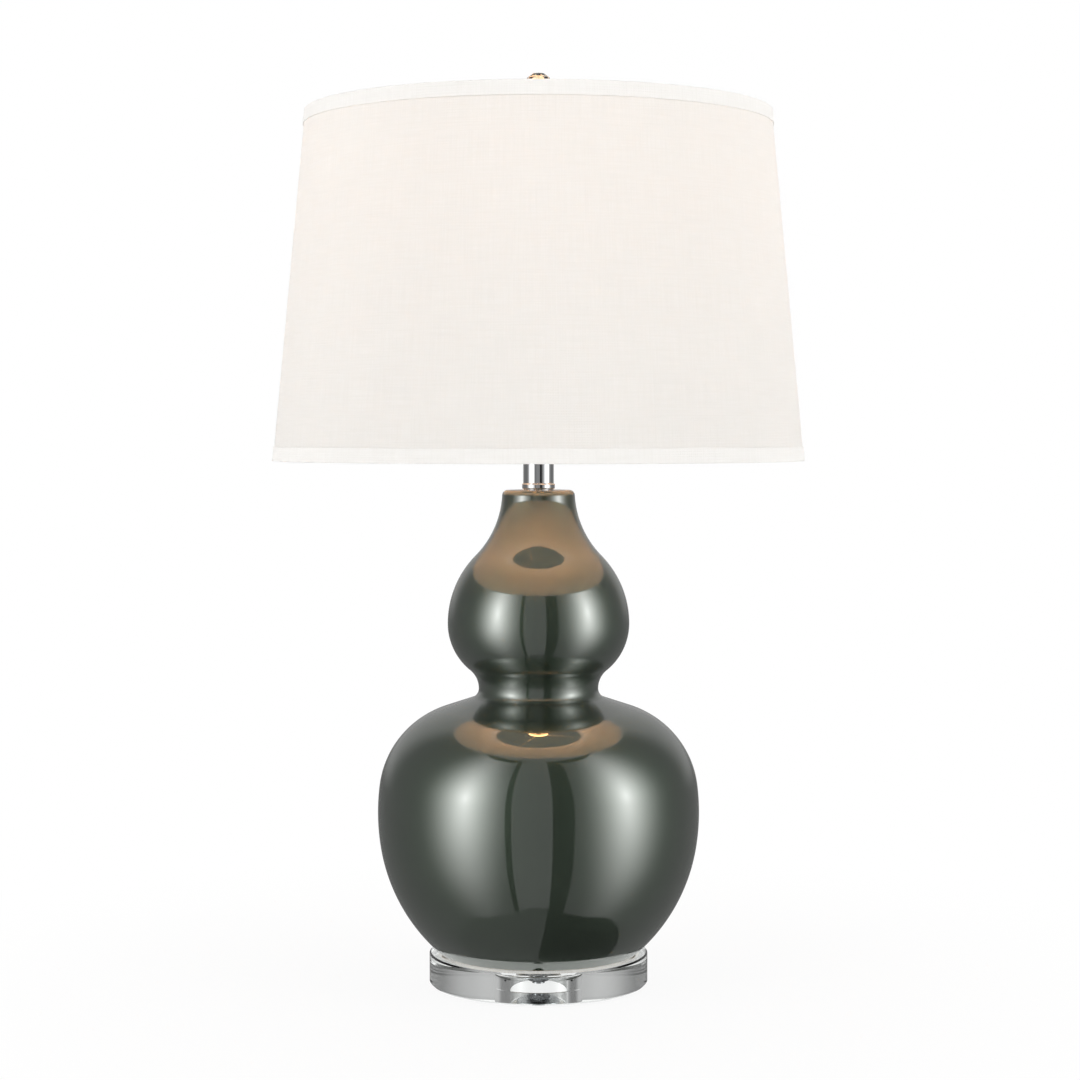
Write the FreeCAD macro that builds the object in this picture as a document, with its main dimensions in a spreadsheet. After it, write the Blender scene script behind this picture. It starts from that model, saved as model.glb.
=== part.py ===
import FreeCAD, Part
import math
import os
import Sketcher

Vector = FreeCAD.Vector

# A table lamp: a glazed double gourd body on a clear disc, with a drum shade on a harp and a cut finial.
# Millimetres, +Z up. The origin is on the table, on the lamp's upright axis. The switch knob faces -Y
# and the cord outlet faces +Y.

doc = FreeCAD.newDocument("double_gourd_lamp")

# Driving dimensions. The body's rings count up from its foot, each rise from the ring below it, and the
# socket's levels from its own base. The others are plain lengths, radii, gaps or angles.
SIZES = [
    # The clear disc and what clamps it
    ("bumper_radius", 5.0),
    ("bumper_height", 1.5),
    ("bumper_ring_radius", 70.0),
    ("bumper_count", 4),
    ("disc_radius", 84.2),
    ("disc_thickness", 23.5),
    ("disc_chamfer", 1.2),
    ("recess_radius", 22.0),
    ("recess_depth", 12.0),
    ("base_washer_radius", 17.0),
    ("base_washer_thickness", 1.5),
    ("cushion_thickness", 1.2),
    ("nut_width", 15.9),
    ("nut_thickness", 4.0),
    ("rod_radius", 4.85),
    ("rod_bore_radius", 3.2),
    ("rod_tail", 2.0),
    ("rod_head", 7.5),
    ("rod_gap", 0.15),
    ("cord_slot_width", 5.0),
    ("cord_slot_height", 18.0),
    ("gasket_thickness", 0.7),
    ("gasket_width", 9.0),
    ("gasket_setback", 4.0),
    # The double gourd body
    ("body_wall", 5.5),
    ("foot_radius", 77.0),
    ("foot_round", 2.0),
    ("foot_ring_width", 18.0),
    ("foot_recess_depth", 3.0),
    ("belly_radius", 123.7),
    ("belly_height", 107.5),
    ("belly_side_radius", 166.5),
    ("belly_side_rise", 21.2),
    ("belly_side_drop", 28.0),
    ("waist_radius", 46.6),
    ("waist_rise", 97.4),
    ("waist_arc_radius", 14.0),
    ("bulge_radius", 69.8),
    ("bulge_rise", 48.0),
    ("neck_radius", 27.8),
    ("neck_rise", 102.5),
    ("neck_flare_radius", 71.6),
    ("rim_round", 4.0),
    ("top_thickness", 8.0),
    ("body_hole_radius", 6.5),
    # The cord outlet in the back of the body
    ("outlet_angle", 30.0),
    ("bushing_bore_radius", 3.65),
    ("bushing_barrel_radius", 5.4),
    ("bushing_flange_radius", 9.0),
    ("bushing_flange_thickness", 2.0),
    ("bushing_lip", 0.8),
    ("bushing_lip_length", 2.0),
    ("bushing_gap", 0.2),
    # The neck
    ("neck_washer_radius", 11.4),
    ("neck_washer_thickness", 1.0),
    ("neck_tube_radius", 11.7),
    ("neck_tube_wall", 1.0),
    ("neck_tube_length", 55.0),
    ("neck_bead_proud", 0.85),
    ("neck_bead_height", 4.1),
    # The harp
    ("saddle_thickness", 1.6),
    ("saddle_width", 10.0),
    ("saddle_centre_radius", 10.5),
    ("saddle_tip_width", 5.0),
    ("saddle_shoulder", 8.0),
    ("saddle_arm_height", 20.0),
    ("saddle_bend", 1.5),
    ("harp_wire_radius", 1.8),
    ("harp_leg_offset", 27.0),
    ("harp_leg_start", 10.0),
    ("harp_leg_straight", 46.0),
    ("harp_belly_offset", 57.0),
    ("harp_belly_height", 102.0),
    ("harp_height", 215.6),
    ("crown_radius", 20.0),
    ("crown_offset", 10.0),
    ("boss_radius", 6.5),
    ("boss_skin", 0.2),
    ("sleeve_wall", 0.6),
    ("sleeve_length", 12.0),
    ("sleeve_gap", 0.15),
    ("sleeve_round", 1.2),
    ("stud_radius", 3.1),
    ("stud_length", 12.0),
    ("stud_flange_radius", 6.5),
    ("stud_flange_thickness", 2.0),
    ("stud_rivet_radius", 2.4),
    ("stud_head_radius", 4.0),
    ("stud_head_thickness", 1.2),
    ("running_gap", 0.06),
    # The socket
    ("socket_metal", 0.6),
    ("socket_hub_radius", 7.5),
    ("socket_hub_height", 7.0),
    ("cap_flare_height", 16.0),
    ("cap_height", 24.0),
    ("shell_radius", 16.0),
    ("shell_length", 40.0),
    ("slip_gap", 0.15),
    ("liner_thickness", 0.5),
    ("block_radius", 14.5),
    ("block_lift", 0.9),
    ("block_height", 18.0),
    ("block_flat", 12.2),
    ("terminal_level", 22.0),
    ("terminal_head_radius", 3.0),
    ("terminal_head_height", 1.4),
    ("terminal_shank_radius", 1.5),
    ("terminal_shank_length", 5.0),
    ("screw_shell_radius", 13.9),
    ("screw_shell_height", 20.0),
    ("screw_shell_hole", 7.0),
    ("contact_radius", 4.0),
    ("contact_height", 2.0),
    ("switch_level", 27.0),
    ("switch_shaft_radius", 2.4),
    ("switch_shaft_start", 8.0),
    ("switch_window_radius", 3.8),
    ("knob_start", 17.0),
    ("knob_length", 13.0),
    ("knob_radius", 6.5),
    ("knob_tip_radius", 5.4),
    ("knob_grip", 6.0),
    ("knob_flute_radius", 0.8),
    ("knob_flutes", 12),
    # The bulb
    ("bulb_tip_radius", 4.8),
    ("bulb_tip_height", 2.5),
    ("bulb_cap_radius", 13.1),
    ("bulb_cap_height", 24.0),
    ("bulb_cap_wall", 0.4),
    ("bulb_neck_radius", 12.5),
    ("bulb_glass_wall", 0.8),
    ("bulb_neck_engage", 3.0),
    ("bulb_globe_radius", 30.0),
    ("bulb_globe_height", 76.0),
    ("bulb_shoulder_radius", 60.0),
    # The shade
    ("shade_top_radius", 177.2),
    ("shade_bottom_radius", 202.4),
    ("shade_height", 263.4),
    ("shade_rise", 13.2),
    ("fabric_thickness", 0.5),
    ("styrene_thickness", 0.5),
    ("trim_thickness", 0.8),
    ("trim_height", 10.0),
    ("ring_wire", 3.0),
    ("ring_gap", 0.1),
    ("weld_gap", 0.1),
    ("hub_washer_radius", 11.0),
    ("hub_washer_thickness", 1.5),
    ("arm_width", 5.0),
    ("arm_thickness", 1.5),
    ("arm_bend", 8.0),
    ("arm_level_run", 14.0),
    ("arm_count", 3),
    # The finial
    ("finial_foot_radius", 8.0),
    ("finial_stem_radius", 5.0),
    ("finial_base_height", 22.0),
    ("finial_bore_depth", 13.0),
    ("ball_radius", 11.0),
    ("ball_facets", 10),
]

sheet = doc.addObject("Spreadsheet::Sheet", "Sizes")
for row, (name, number) in enumerate(SIZES, start=1):
    sheet.set(f"A{row}", name)
    sheet.set(f"B{row}", str(number))
    sheet.setAlias(f"B{row}", name)
doc.recompute()


def value(expression):
    """The number that an expression on the sheet gives."""
    return float(sheet.evalExpression(expression))


# Heights of the body's rings over its foot.
WAIST_HEIGHT = "(Sizes.belly_height + Sizes.waist_rise)"
BULGE_HEIGHT = f"({WAIST_HEIGHT} + Sizes.bulge_rise)"
BODY_HEIGHT = f"({BULGE_HEIGHT} + Sizes.neck_rise)"

# Levels, each standing on the piece below it.
DISC_TOP = "(Sizes.bumper_height + Sizes.disc_thickness)"
RECESS_CEILING = "(Sizes.bumper_height + Sizes.recess_depth)"
BASE_WASHER_TOP = f"({RECESS_CEILING} - Sizes.cushion_thickness)"
BASE_NUT_TOP = f"({BASE_WASHER_TOP} - Sizes.base_washer_thickness)"
ROD_BOTTOM = f"({BASE_NUT_TOP} - Sizes.nut_thickness - Sizes.rod_tail)"
FOOT_LEVEL = f"({DISC_TOP} + Sizes.gasket_thickness)"
BODY_TOP = f"({FOOT_LEVEL} + {BODY_HEIGHT})"
NECK_BASE = f"({BODY_TOP} + Sizes.neck_washer_thickness)"
SADDLE_BASE = f"({NECK_BASE} + Sizes.neck_tube_length)"
SOCKET_BASE = f"({SADDLE_BASE} + Sizes.saddle_thickness)"
ROD_TOP = f"({SOCKET_BASE} + Sizes.rod_head)"
SHELL_START = "(Sizes.cap_flare_height + Sizes.socket_metal)"
BLOCK_START = f"({SHELL_START} + Sizes.block_lift)"
BLOCK_TOP = f"({BLOCK_START} + Sizes.block_height)"
BULB_BASE = f"({SOCKET_BASE} + {BLOCK_TOP} + Sizes.contact_height)"
HARP_TOP = f"({SADDLE_BASE} + Sizes.harp_height)"
HUB_LEVEL = f"({HARP_TOP} + Sizes.stud_flange_thickness)"
SHADE_TOP = f"({HUB_LEVEL} + Sizes.shade_rise)"
FINIAL_BASE = f"({HUB_LEVEL} + Sizes.hub_washer_thickness)"
BALL_BASE = f"({FINIAL_BASE} + Sizes.finial_base_height)"

# How far a cut runs past the face where it comes out.
OVERCUT = "1"

# Fits that several pieces share.
ROD_HOLE = "(Sizes.rod_radius + Sizes.rod_gap)"
LINER_RADIUS = "(Sizes.shell_radius - Sizes.socket_metal - Sizes.slip_gap)"
SHADE_SLOPE = "((Sizes.shade_bottom_radius - Sizes.shade_top_radius) / Sizes.shade_height)"
SHADE_WALL = "(Sizes.fabric_thickness + Sizes.styrene_thickness)"


def new_body(label, level="0"):
    """A piece whose own frame stands on the lamp's axis at a level."""
    body = doc.addObject("PartDesign::Body", label)
    body.Label = label
    body.AllowCompound = True
    body.setExpression("Placement.Base.z", level)
    return body


def origin_plane(body, role):
    """One of a body's own origin planes."""
    return next(part for part in body.Origin.OriginFeatures if part.Role == role)


def new_sketch(body, name, role="XZ_Plane", offset=None):
    """A sketch on one of the body's origin planes, or at an offset along that plane's normal."""
    sketch = body.newObject("Sketcher::SketchObject", f"{body.Label}_{name}")
    sketch.AttachmentSupport = (origin_plane(body, role), [""])
    sketch.MapMode = "FlatFace"
    if offset is not None:
        sketch.setExpression("AttachmentOffset.Base.z", offset)
    return sketch


def dimension(sketch, kind, *where, size):
    """A driving dimension that follows an expression on the sheet."""
    index = sketch.addConstraint(Sketcher.Constraint(kind, *where, value(size)))
    sketch.setExpression(f"Constraints[{index}]", size)


def relate(sketch, kind, *where):
    """A geometric constraint, such as Tangent or Coincident."""
    sketch.addConstraint(Sketcher.Constraint(kind, *where))


def reference(sketch, name, kind, *where):
    """A measured dimension that other pieces read by its name."""
    index = sketch.addConstraint(Sketcher.Constraint(kind, *where, 1.0))
    sketch.setDriving(index, False)
    sketch.renameConstraint(index, name)


def add_arc(sketch, centre, radius, start, end):
    """An arc that runs anticlockwise between two angles in radians."""
    circle = Part.Circle(Vector(centre[0], centre[1], 0), Vector(0, 0, 1), radius)
    return sketch.addGeometry(Part.ArcOfCircle(circle, start, end), False)


def add_line(sketch, start, end):
    """A straight line between two points of the sketch."""
    return sketch.addGeometry(Part.LineSegment(Vector(*start, 0), Vector(*end, 0)), False)


def add_circle(sketch, across, along, radius):
    """A circle whose centre and radius follow expressions."""
    centre = Vector(value(across), value(along), 0)
    circle = sketch.addGeometry(Part.Circle(centre, Vector(0, 0, 1), value(radius)), False)
    for kind, axis, size in (("DistanceX", -2, across), ("DistanceY", -1, along)):
        if size == "0":
            relate(sketch, "PointOnObject", circle, 3, axis)
        else:
            dimension(sketch, kind, -1, 1, circle, 3, size=size)
    dimension(sketch, "Radius", circle, size=radius)
    return circle


def add_outline(sketch, corners):
    """A closed straight-sided outline. Corners that share a coordinate are joined level or upright."""
    points = [(value(across), value(along)) for across, along in corners]
    count = len(corners)
    lines = [add_line(sketch, points[i], points[(i + 1) % count]) for i in range(count)]
    for i in range(count):
        relate(sketch, "Coincident", lines[i], 2, lines[(i + 1) % count], 1)
    for axis, kind, level in ((0, "DistanceX", "Vertical"), (1, "DistanceY", "Horizontal")):
        for i in range(count):
            size = corners[i][axis]
            if size == corners[i - 1][axis]:
                relate(sketch, level, lines[i - 1])
            elif size == "0":
                relate(sketch, "PointOnObject", lines[i], 1, -2 if axis == 0 else -1)
            else:
                dimension(sketch, kind, -1, 1, lines[i], 1, size=size)


def add_hexagon(sketch, width):
    """A regular hexagon about the origin, given its width across flats."""
    corner = value(width) / math.sqrt(3)
    turns = [math.radians(60 * i) for i in range(6)]
    points = [(corner * math.cos(turn), corner * math.sin(turn)) for turn in turns]
    lines = [add_line(sketch, points[i], points[(i + 1) % 6]) for i in range(6)]
    guide = sketch.addGeometry(Part.Circle(Vector(), Vector(0, 0, 1), corner), True)
    relate(sketch, "Coincident", guide, 3, -1, 1)
    dimension(sketch, "Radius", guide, size=f"({width} / sqrt(3))")
    for i in range(6):
        relate(sketch, "Coincident", lines[i], 2, lines[(i + 1) % 6], 1)
        relate(sketch, "PointOnObject", lines[i], 1, guide)
    for i in range(5):
        relate(sketch, "Equal", lines[i], lines[i + 1])
    relate(sketch, "PointOnObject", lines[0], 1, -1)


def revolve(body, sketch, name="turned"):
    """The sketch turned once about its own upright axis."""
    feature = body.newObject("PartDesign::Revolution", f"{body.Label}_{name}")
    feature.Profile = sketch
    feature.ReferenceAxis = (sketch, ["V_Axis"])
    feature.Angle = 360
    return feature


def pad(body, sketch, length, name="pad", side="One side", reverse=False):
    """The sketch extruded by a length."""
    feature = body.newObject("PartDesign::Pad", f"{body.Label}_{name}")
    feature.Profile = sketch
    feature.SideType = side
    feature.Reversed = reverse
    feature.setExpression("Length", length)
    return feature


def pocket(body, sketch, length, name="pocket", side="One side", reverse=False):
    """The sketch cut out to a depth."""
    feature = body.newObject("PartDesign::Pocket", f"{body.Label}_{name}")
    feature.Profile = sketch
    feature.SideType = side
    feature.Reversed = reverse
    feature.setExpression("Length", length)
    return feature


def around(body, features, count, name="round"):
    """Features repeated evenly about the body's upright axis."""
    pattern = body.newObject("PartDesign::PolarPattern", f"{body.Label}_{name}")
    pattern.Originals = features
    pattern.Axis = (next(part for part in body.Origin.OriginFeatures if part.Role == "Z_Axis"), [""])
    pattern.Angle = 360
    pattern.setExpression("Occurrences", count)
    body.Tip = pattern
    return pattern


def dress(body, kind, size, wanted, name):
    """A Fillet or Chamfer on the edges of the body so far that a test picks out."""
    doc.recompute()
    base = body.Tip
    edges = [f"Edge{i}" for i, edge in enumerate(base.Shape.Edges, start=1) if wanted(edge)]
    feature = body.newObject(f"PartDesign::{kind}", f"{body.Label}_{name}")
    feature.Base = (base, edges)
    feature.setExpression("Radius" if kind == "Fillet" else "Size", size)
    return feature


def is_circle(edge, radius, level):
    """True for a full circle about the axis at a radius and a level."""
    curve = edge.Curve
    return (
        isinstance(curve, Part.Circle)
        and abs(curve.Radius - value(radius)) < 0.001
        and abs(curve.Center.z - value(level)) < 0.001
        and curve.Center.x**2 + curve.Center.y**2 < 0.001
    )


def turned(label, level, corners):
    """A piece turned about the lamp's axis from a straight-sided half section."""
    body = new_body(label, level)
    sketch = new_sketch(body, "section")
    add_outline(sketch, corners)
    revolve(body, sketch)
    return body


def washer(label, level, bore, radius, thickness):
    """A flat ring."""
    return turned(label, level, [(bore, "0"), (radius, "0"), (radius, thickness), (bore, thickness)])


def hex_nut(label, level):
    """A plain hexagon nut on the rod."""
    body = new_body(label, level)
    sketch = new_sketch(body, "flats", "XY_Plane")
    add_hexagon(sketch, "Sizes.nut_width")
    add_circle(sketch, "0", "0", ROD_HOLE)
    pad(body, sketch, "Sizes.nut_thickness")
    return body


# Bumpers: four soft clear dots that the disc stands on.
bumpers = new_body("base_bumpers")
bumper_sketch = new_sketch(bumpers, "dot", "XY_Plane")
add_circle(bumper_sketch, "Sizes.bumper_ring_radius", "0", "Sizes.bumper_radius")
bumper_dot = pad(bumpers, bumper_sketch, "Sizes.bumper_height")
around(bumpers, [bumper_dot], "Sizes.bumper_count")

# The clear disc: a bore for the rod, and a recess beneath that hides the nut.
disc = turned("crystal_base", "Sizes.bumper_height", [
    (ROD_HOLE, "Sizes.recess_depth"),
    ("Sizes.recess_radius", "Sizes.recess_depth"),
    ("Sizes.recess_radius", "0"),
    ("Sizes.disc_radius", "0"),
    ("Sizes.disc_radius", "Sizes.disc_thickness"),
    (ROD_HOLE, "Sizes.disc_thickness"),
])
dress(disc, "Chamfer", "Sizes.disc_chamfer", lambda edge: (
    is_circle(edge, "Sizes.disc_radius", "Sizes.disc_thickness") or is_circle(edge, "Sizes.disc_radius", "0")
), "polished_edges")

# What clamps the disc from beneath: a soft washer, a steel washer and a nut, one on the other.
washer("base_cushion_washer", BASE_WASHER_TOP, ROD_HOLE, "Sizes.base_washer_radius",
       "Sizes.cushion_thickness")
washer("base_steel_washer", BASE_NUT_TOP, ROD_HOLE, "Sizes.base_washer_radius",
       "Sizes.base_washer_thickness")
hex_nut("base_nut", f"({BASE_NUT_TOP} - Sizes.nut_thickness)")

# The thin ring that beds the body's foot on the disc.
GASKET_OUTSIDE = "(Sizes.foot_radius - Sizes.gasket_setback)"
washer("foot_gasket", DISC_TOP, f"({GASKET_OUTSIDE} - Sizes.gasket_width)", GASKET_OUTSIDE,
       "Sizes.gasket_thickness")


# Levels and radii inside the body, measured from its foot.
INNER_FLOOR = "(Sizes.foot_recess_depth + Sizes.body_wall)"
INNER_CEILING = f"({BODY_HEIGHT} - Sizes.top_thickness)"
BODY_HOLE = "Sizes.body_hole_radius"
FOOT_RECESS_RADIUS = "(Sizes.foot_radius - Sizes.foot_ring_width)"


def polar(centre, radius, angle):
    """The point at an angle on a circle."""
    return centre[0] + radius * math.cos(angle), centre[1] + radius * math.sin(angle)


def bearing(start, end):
    """The angle from one point towards another."""
    return math.atan2(end[1] - start[1], end[0] - start[0])


class Gourd:
    """Centres, radii and joints of the double gourd's outline, from the sizes on the sheet.

    Every arc is tangent to the next. Where two arcs meet in an S between a widest and a narrowest
    ring, their radii add up to (across**2 + along**2) / (2 * across) for the steps between the rings.
    """

    def __init__(self):
        size = {name: value(f"Sizes.{name}") for name, number in SIZES}
        self.top = value(BODY_HEIGHT)
        self.round_foot, self.round_rim = size["foot_round"], size["rim_round"]
        self.side = (size["belly_radius"] - size["belly_side_radius"], size["belly_height"])
        self.side_radius = size["belly_side_radius"]
        self.side_end = math.asin(size["belly_side_rise"] / self.side_radius)
        self.side_start = -math.asin(size["belly_side_drop"] / self.side_radius)

        # The heel arc leaves the side arc and passes through the foot.
        across, along = polar((0, 0), 1, self.side_start)
        joint = polar(self.side, self.side_radius, self.side_start)
        reach = (size["foot_radius"] - joint[0], -joint[1])
        lean = across * reach[0] + along * reach[1]
        self.heel_radius = -(reach[0] ** 2 + reach[1] ** 2) / (2 * lean)
        self.heel = (joint[0] - self.heel_radius * across, joint[1] - self.heel_radius * along)

        # The shoulder arc leaves the side arc and meets the waist arc.
        self.waist_radius = size["waist_arc_radius"]
        self.waist = (size["waist_radius"] + self.waist_radius, value(WAIST_HEIGHT))
        across, along = polar((0, 0), 1, self.side_end)
        joint = polar(self.side, self.side_radius, self.side_end)
        reach = (joint[0] - self.waist[0], joint[1] - self.waist[1])
        lean = across * reach[0] + along * reach[1]
        square = reach[0] ** 2 + reach[1] ** 2 - self.waist_radius**2
        self.shoulder_radius = square / (2 * (self.waist_radius + lean))
        self.shoulder = (joint[0] - self.shoulder_radius * across, joint[1] - self.shoulder_radius * along)

        # The upper bulge is an S up from the waist and another up to the neck.
        widest, level = size["bulge_radius"], value(BULGE_HEIGHT)
        across, along = widest - size["waist_radius"], size["bulge_rise"]
        self.lower_radius = (across**2 + along**2) / (2 * across) - self.waist_radius
        self.lower = (widest - self.lower_radius, level)
        self.flare_radius = size["neck_flare_radius"]
        self.flare = (size["neck_radius"] + self.flare_radius, self.top)
        across, along = widest - size["neck_radius"], size["neck_rise"]
        self.upper_radius = (across**2 + along**2) / (2 * across) - self.flare_radius
        self.upper = (widest - self.upper_radius, level)

        # Small rounds at the foot and at the rim.
        up = self.heel[1] - self.round_foot
        inset = math.sqrt((self.heel_radius - self.round_foot) ** 2 - up**2)
        self.foot = (self.heel[0] + inset, self.round_foot)
        inset = math.sqrt((self.flare_radius + self.round_rim) ** 2 - self.round_rim**2)
        self.rim = (self.flare[0] - inset, self.top - self.round_rim)

    def arcs(self, wall):
        """The seven arcs between heel and flare, drawn in by a wall, as centre, radius, start, end."""
        turn = math.pi
        heel_end = bearing(self.heel, self.foot)
        flare_end = bearing(self.flare, self.rim) % (2 * math.pi)
        if wall:
            floor = value(INNER_FLOOR) - self.heel[1]
            heel_end = math.asin(floor / (self.heel_radius - wall))
            flare_end = turn + math.asin(value("Sizes.top_thickness") / (self.flare_radius + wall))
        to_waist = bearing(self.shoulder, self.waist)
        from_waist = bearing(self.lower, self.waist)
        to_flare = bearing(self.upper, self.flare)
        return [
            (self.heel, self.heel_radius - wall, heel_end, self.side_start),
            (self.side, self.side_radius - wall, self.side_start, self.side_end),
            (self.shoulder, self.shoulder_radius - wall, self.side_end, to_waist),
            (self.waist, self.waist_radius + wall, from_waist + turn, to_waist + turn),
            (self.lower, self.lower_radius - wall, from_waist, 0),
            (self.upper, self.upper_radius - wall, 0, to_flare),
            (self.flare, self.flare_radius + wall, flare_end, to_flare + turn),
        ]


def draw_chain(sketch, gourd, wall):
    """One chain of seven tangent arcs. An arc's lower end is its start, and on a hollow one its end."""
    arcs = gourd.arcs(wall)
    chain = [add_arc(sketch, *arc) for arc in arcs]
    lower_ends = [1 if math.sin(start) < math.sin(end) else 2 for centre, radius, start, end in arcs]
    upper_ends = [2 if end == 1 else 1 for end in lower_ends]
    for below, upper_end, above, lower_end in zip(chain, upper_ends, chain[1:], lower_ends[1:]):
        relate(sketch, "Tangent", below, upper_end, above, lower_end)
    return chain


def draw_gourd(sketch):
    """The body's half section: the glazed outline, and a wall of even thickness inside it."""
    gourd = Gourd()
    outer = draw_chain(sketch, gourd, 0)
    inner = draw_chain(sketch, gourd, value("Sizes.body_wall"))
    heel, side, shoulder, waist, lower, upper, flare = outer

    # Widest and narrowest rings, and the free radii.
    dimension(sketch, "DistanceX", -1, 1, side, 3, size="(Sizes.belly_radius - Sizes.belly_side_radius)")
    dimension(sketch, "DistanceY", -1, 1, side, 3, size="Sizes.belly_height")
    dimension(sketch, "Radius", side, size="Sizes.belly_side_radius")
    dimension(sketch, "DistanceY", -1, 1, side, 1, size="(Sizes.belly_height - Sizes.belly_side_drop)")
    dimension(sketch, "DistanceY", -1, 1, side, 2, size="(Sizes.belly_height + Sizes.belly_side_rise)")
    dimension(sketch, "DistanceX", -1, 1, waist, 3, size="(Sizes.waist_radius + Sizes.waist_arc_radius)")
    dimension(sketch, "DistanceY", -1, 1, waist, 3, size=WAIST_HEIGHT)
    dimension(sketch, "Radius", waist, size="Sizes.waist_arc_radius")
    dimension(sketch, "DistanceX", -1, 1, lower, 2, size="Sizes.bulge_radius")
    dimension(sketch, "DistanceY", -1, 1, lower, 2, size=BULGE_HEIGHT)
    relate(sketch, "Horizontal", lower, 3, lower, 2)
    dimension(sketch, "DistanceX", -1, 1, flare, 3, size="(Sizes.neck_radius + Sizes.neck_flare_radius)")
    dimension(sketch, "DistanceY", -1, 1, flare, 3, size=BODY_HEIGHT)
    dimension(sketch, "Radius", flare, size="Sizes.neck_flare_radius")

    # The heel arc aims at the foot's sharp corner, which a small round then takes off.
    corner = sketch.addGeometry(Part.Point(Vector(value("Sizes.foot_radius"), 0, 0)), True)
    dimension(sketch, "DistanceX", -1, 1, corner, 1, size="Sizes.foot_radius")
    relate(sketch, "PointOnObject", corner, 1, -1)
    relate(sketch, "PointOnObject", corner, 1, heel)
    foot_turn = bearing(gourd.heel, gourd.foot)
    foot = add_arc(sketch, gourd.foot, gourd.round_foot, -math.pi / 2, foot_turn)
    rim_turn = bearing(gourd.rim, gourd.flare)
    rim = add_arc(sketch, gourd.rim, gourd.round_rim, rim_turn, math.pi / 2)
    dimension(sketch, "Radius", foot, size="Sizes.foot_round")
    dimension(sketch, "Radius", rim, size="Sizes.rim_round")
    relate(sketch, "Tangent", foot, 2, heel, 1)
    relate(sketch, "Tangent", rim, 1, flare, 1)

    # Inside, each arc keeps the centre of the one outside it.
    for inside, outside in zip(inner, outer):
        relate(sketch, "Coincident", inside, 3, outside, 3)
    dimension(sketch, "Radius", inner[1], size="(Sizes.belly_side_radius - Sizes.body_wall)")
    dimension(sketch, "DistanceY", -1, 1, inner[0], 1, size=INNER_FLOOR)
    dimension(sketch, "DistanceY", -1, 1, inner[6], 1, size=INNER_CEILING)

    # Straight edges: rim, top hole, ceiling, then floor, bottom hole, foot recess and foot.
    hole, top = value(BODY_HOLE), value(BODY_HEIGHT)
    ceiling, floor = value(INNER_CEILING), value(INNER_FLOOR)
    recess, depth = value(FOOT_RECESS_RADIUS), value("Sizes.foot_recess_depth")
    inside = gourd.arcs(value("Sizes.body_wall"))
    ceiling_end = polar(inside[6][0], inside[6][1], inside[6][2])
    floor_end = polar(inside[0][0], inside[0][1], inside[0][2])
    above = [(gourd.rim[0], top), (hole, top), (hole, ceiling), ceiling_end]
    below = [floor_end, (hole, floor), (hole, depth), (recess, depth), (recess, 0), (gourd.foot[0], 0)]
    upper_lines = [add_line(sketch, above[i], above[i + 1]) for i in range(3)]
    lower_lines = [add_line(sketch, below[i], below[i + 1]) for i in range(5)]
    for run in (upper_lines, lower_lines):
        for i, line in enumerate(run):
            relate(sketch, "Vertical" if i % 2 else "Horizontal", line)
            if i:
                relate(sketch, "Coincident", run[i - 1], 2, line, 1)
    relate(sketch, "Tangent", rim, 2, upper_lines[0], 1)
    dimension(sketch, "DistanceY", -1, 1, upper_lines[0], 2, size=BODY_HEIGHT)
    relate(sketch, "Coincident", upper_lines[2], 2, inner[6], 1)
    relate(sketch, "Coincident", lower_lines[0], 1, inner[0], 1)
    relate(sketch, "Tangent", lower_lines[4], 2, foot, 1)
    relate(sketch, "PointOnObject", lower_lines[4], 1, -1)
    dimension(sketch, "DistanceX", -1, 1, upper_lines[0], 2, size=BODY_HOLE)
    dimension(sketch, "DistanceX", -1, 1, lower_lines[0], 2, size=BODY_HOLE)
    dimension(sketch, "DistanceX", -1, 1, lower_lines[2], 2, size=FOOT_RECESS_RADIUS)
    dimension(sketch, "DistanceY", -1, 1, lower_lines[2], 2, size="Sizes.foot_recess_depth")

    # The outlet in the back is set square to the heel arc.
    reference(sketch, "heel_radius", "Radius", heel)
    reference(sketch, "heel_out", "DistanceX", -1, 1, heel, 3)
    reference(sketch, "heel_up", "DistanceY", -1, 1, heel, 3)


# The glazed body, one hollow casting with a hole at each end for the rod.
ceramic = new_body("ceramic_body", FOOT_LEVEL)
gourd_section = new_sketch(ceramic, "section")
draw_gourd(gourd_section)
revolve(ceramic, gourd_section)

# The outlet's axis leaves the heel square to the glaze, sloping down and back.
SECTION = gourd_section.Name


def outlet_out(depth):
    """How far behind the lamp's axis a point on the outlet's axis is, at a depth under the glaze."""
    return (f"({SECTION}.Constraints.heel_out + ({SECTION}.Constraints.heel_radius - ({depth}) * 1 mm)"
            " * cos(Sizes.outlet_angle))")


def outlet_up(depth):
    """How high above the body's foot that point is."""
    return (f"({SECTION}.Constraints.heel_up - ({SECTION}.Constraints.heel_radius - ({depth}) * 1 mm)"
            " * sin(Sizes.outlet_angle))")


OUTLET_DEPTH = f"(Sizes.body_wall + {OVERCUT})"
outlet_hole = ceramic.newObject("PartDesign::SubtractiveCylinder", "ceramic_body_outlet")
outlet_hole.AttachmentSupport = (origin_plane(ceramic, "XY_Plane"), [""])
outlet_hole.MapMode = "FlatFace"
outlet_hole.AttachmentOffset = FreeCAD.Placement(Vector(), FreeCAD.Rotation(Vector(1, 0, 0), -120))
outlet_hole.setExpression("AttachmentOffset.Base.y", outlet_out(OUTLET_DEPTH))
outlet_hole.setExpression("AttachmentOffset.Base.z", outlet_up(OUTLET_DEPTH))
outlet_hole.setExpression("AttachmentOffset.Rotation.Angle", "-(90 + Sizes.outlet_angle)")
outlet_hole.setExpression("Radius", "Sizes.bushing_barrel_radius + Sizes.bushing_gap")
outlet_hole.setExpression("Height", f"{OUTLET_DEPTH} + {OVERCUT}")

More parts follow.
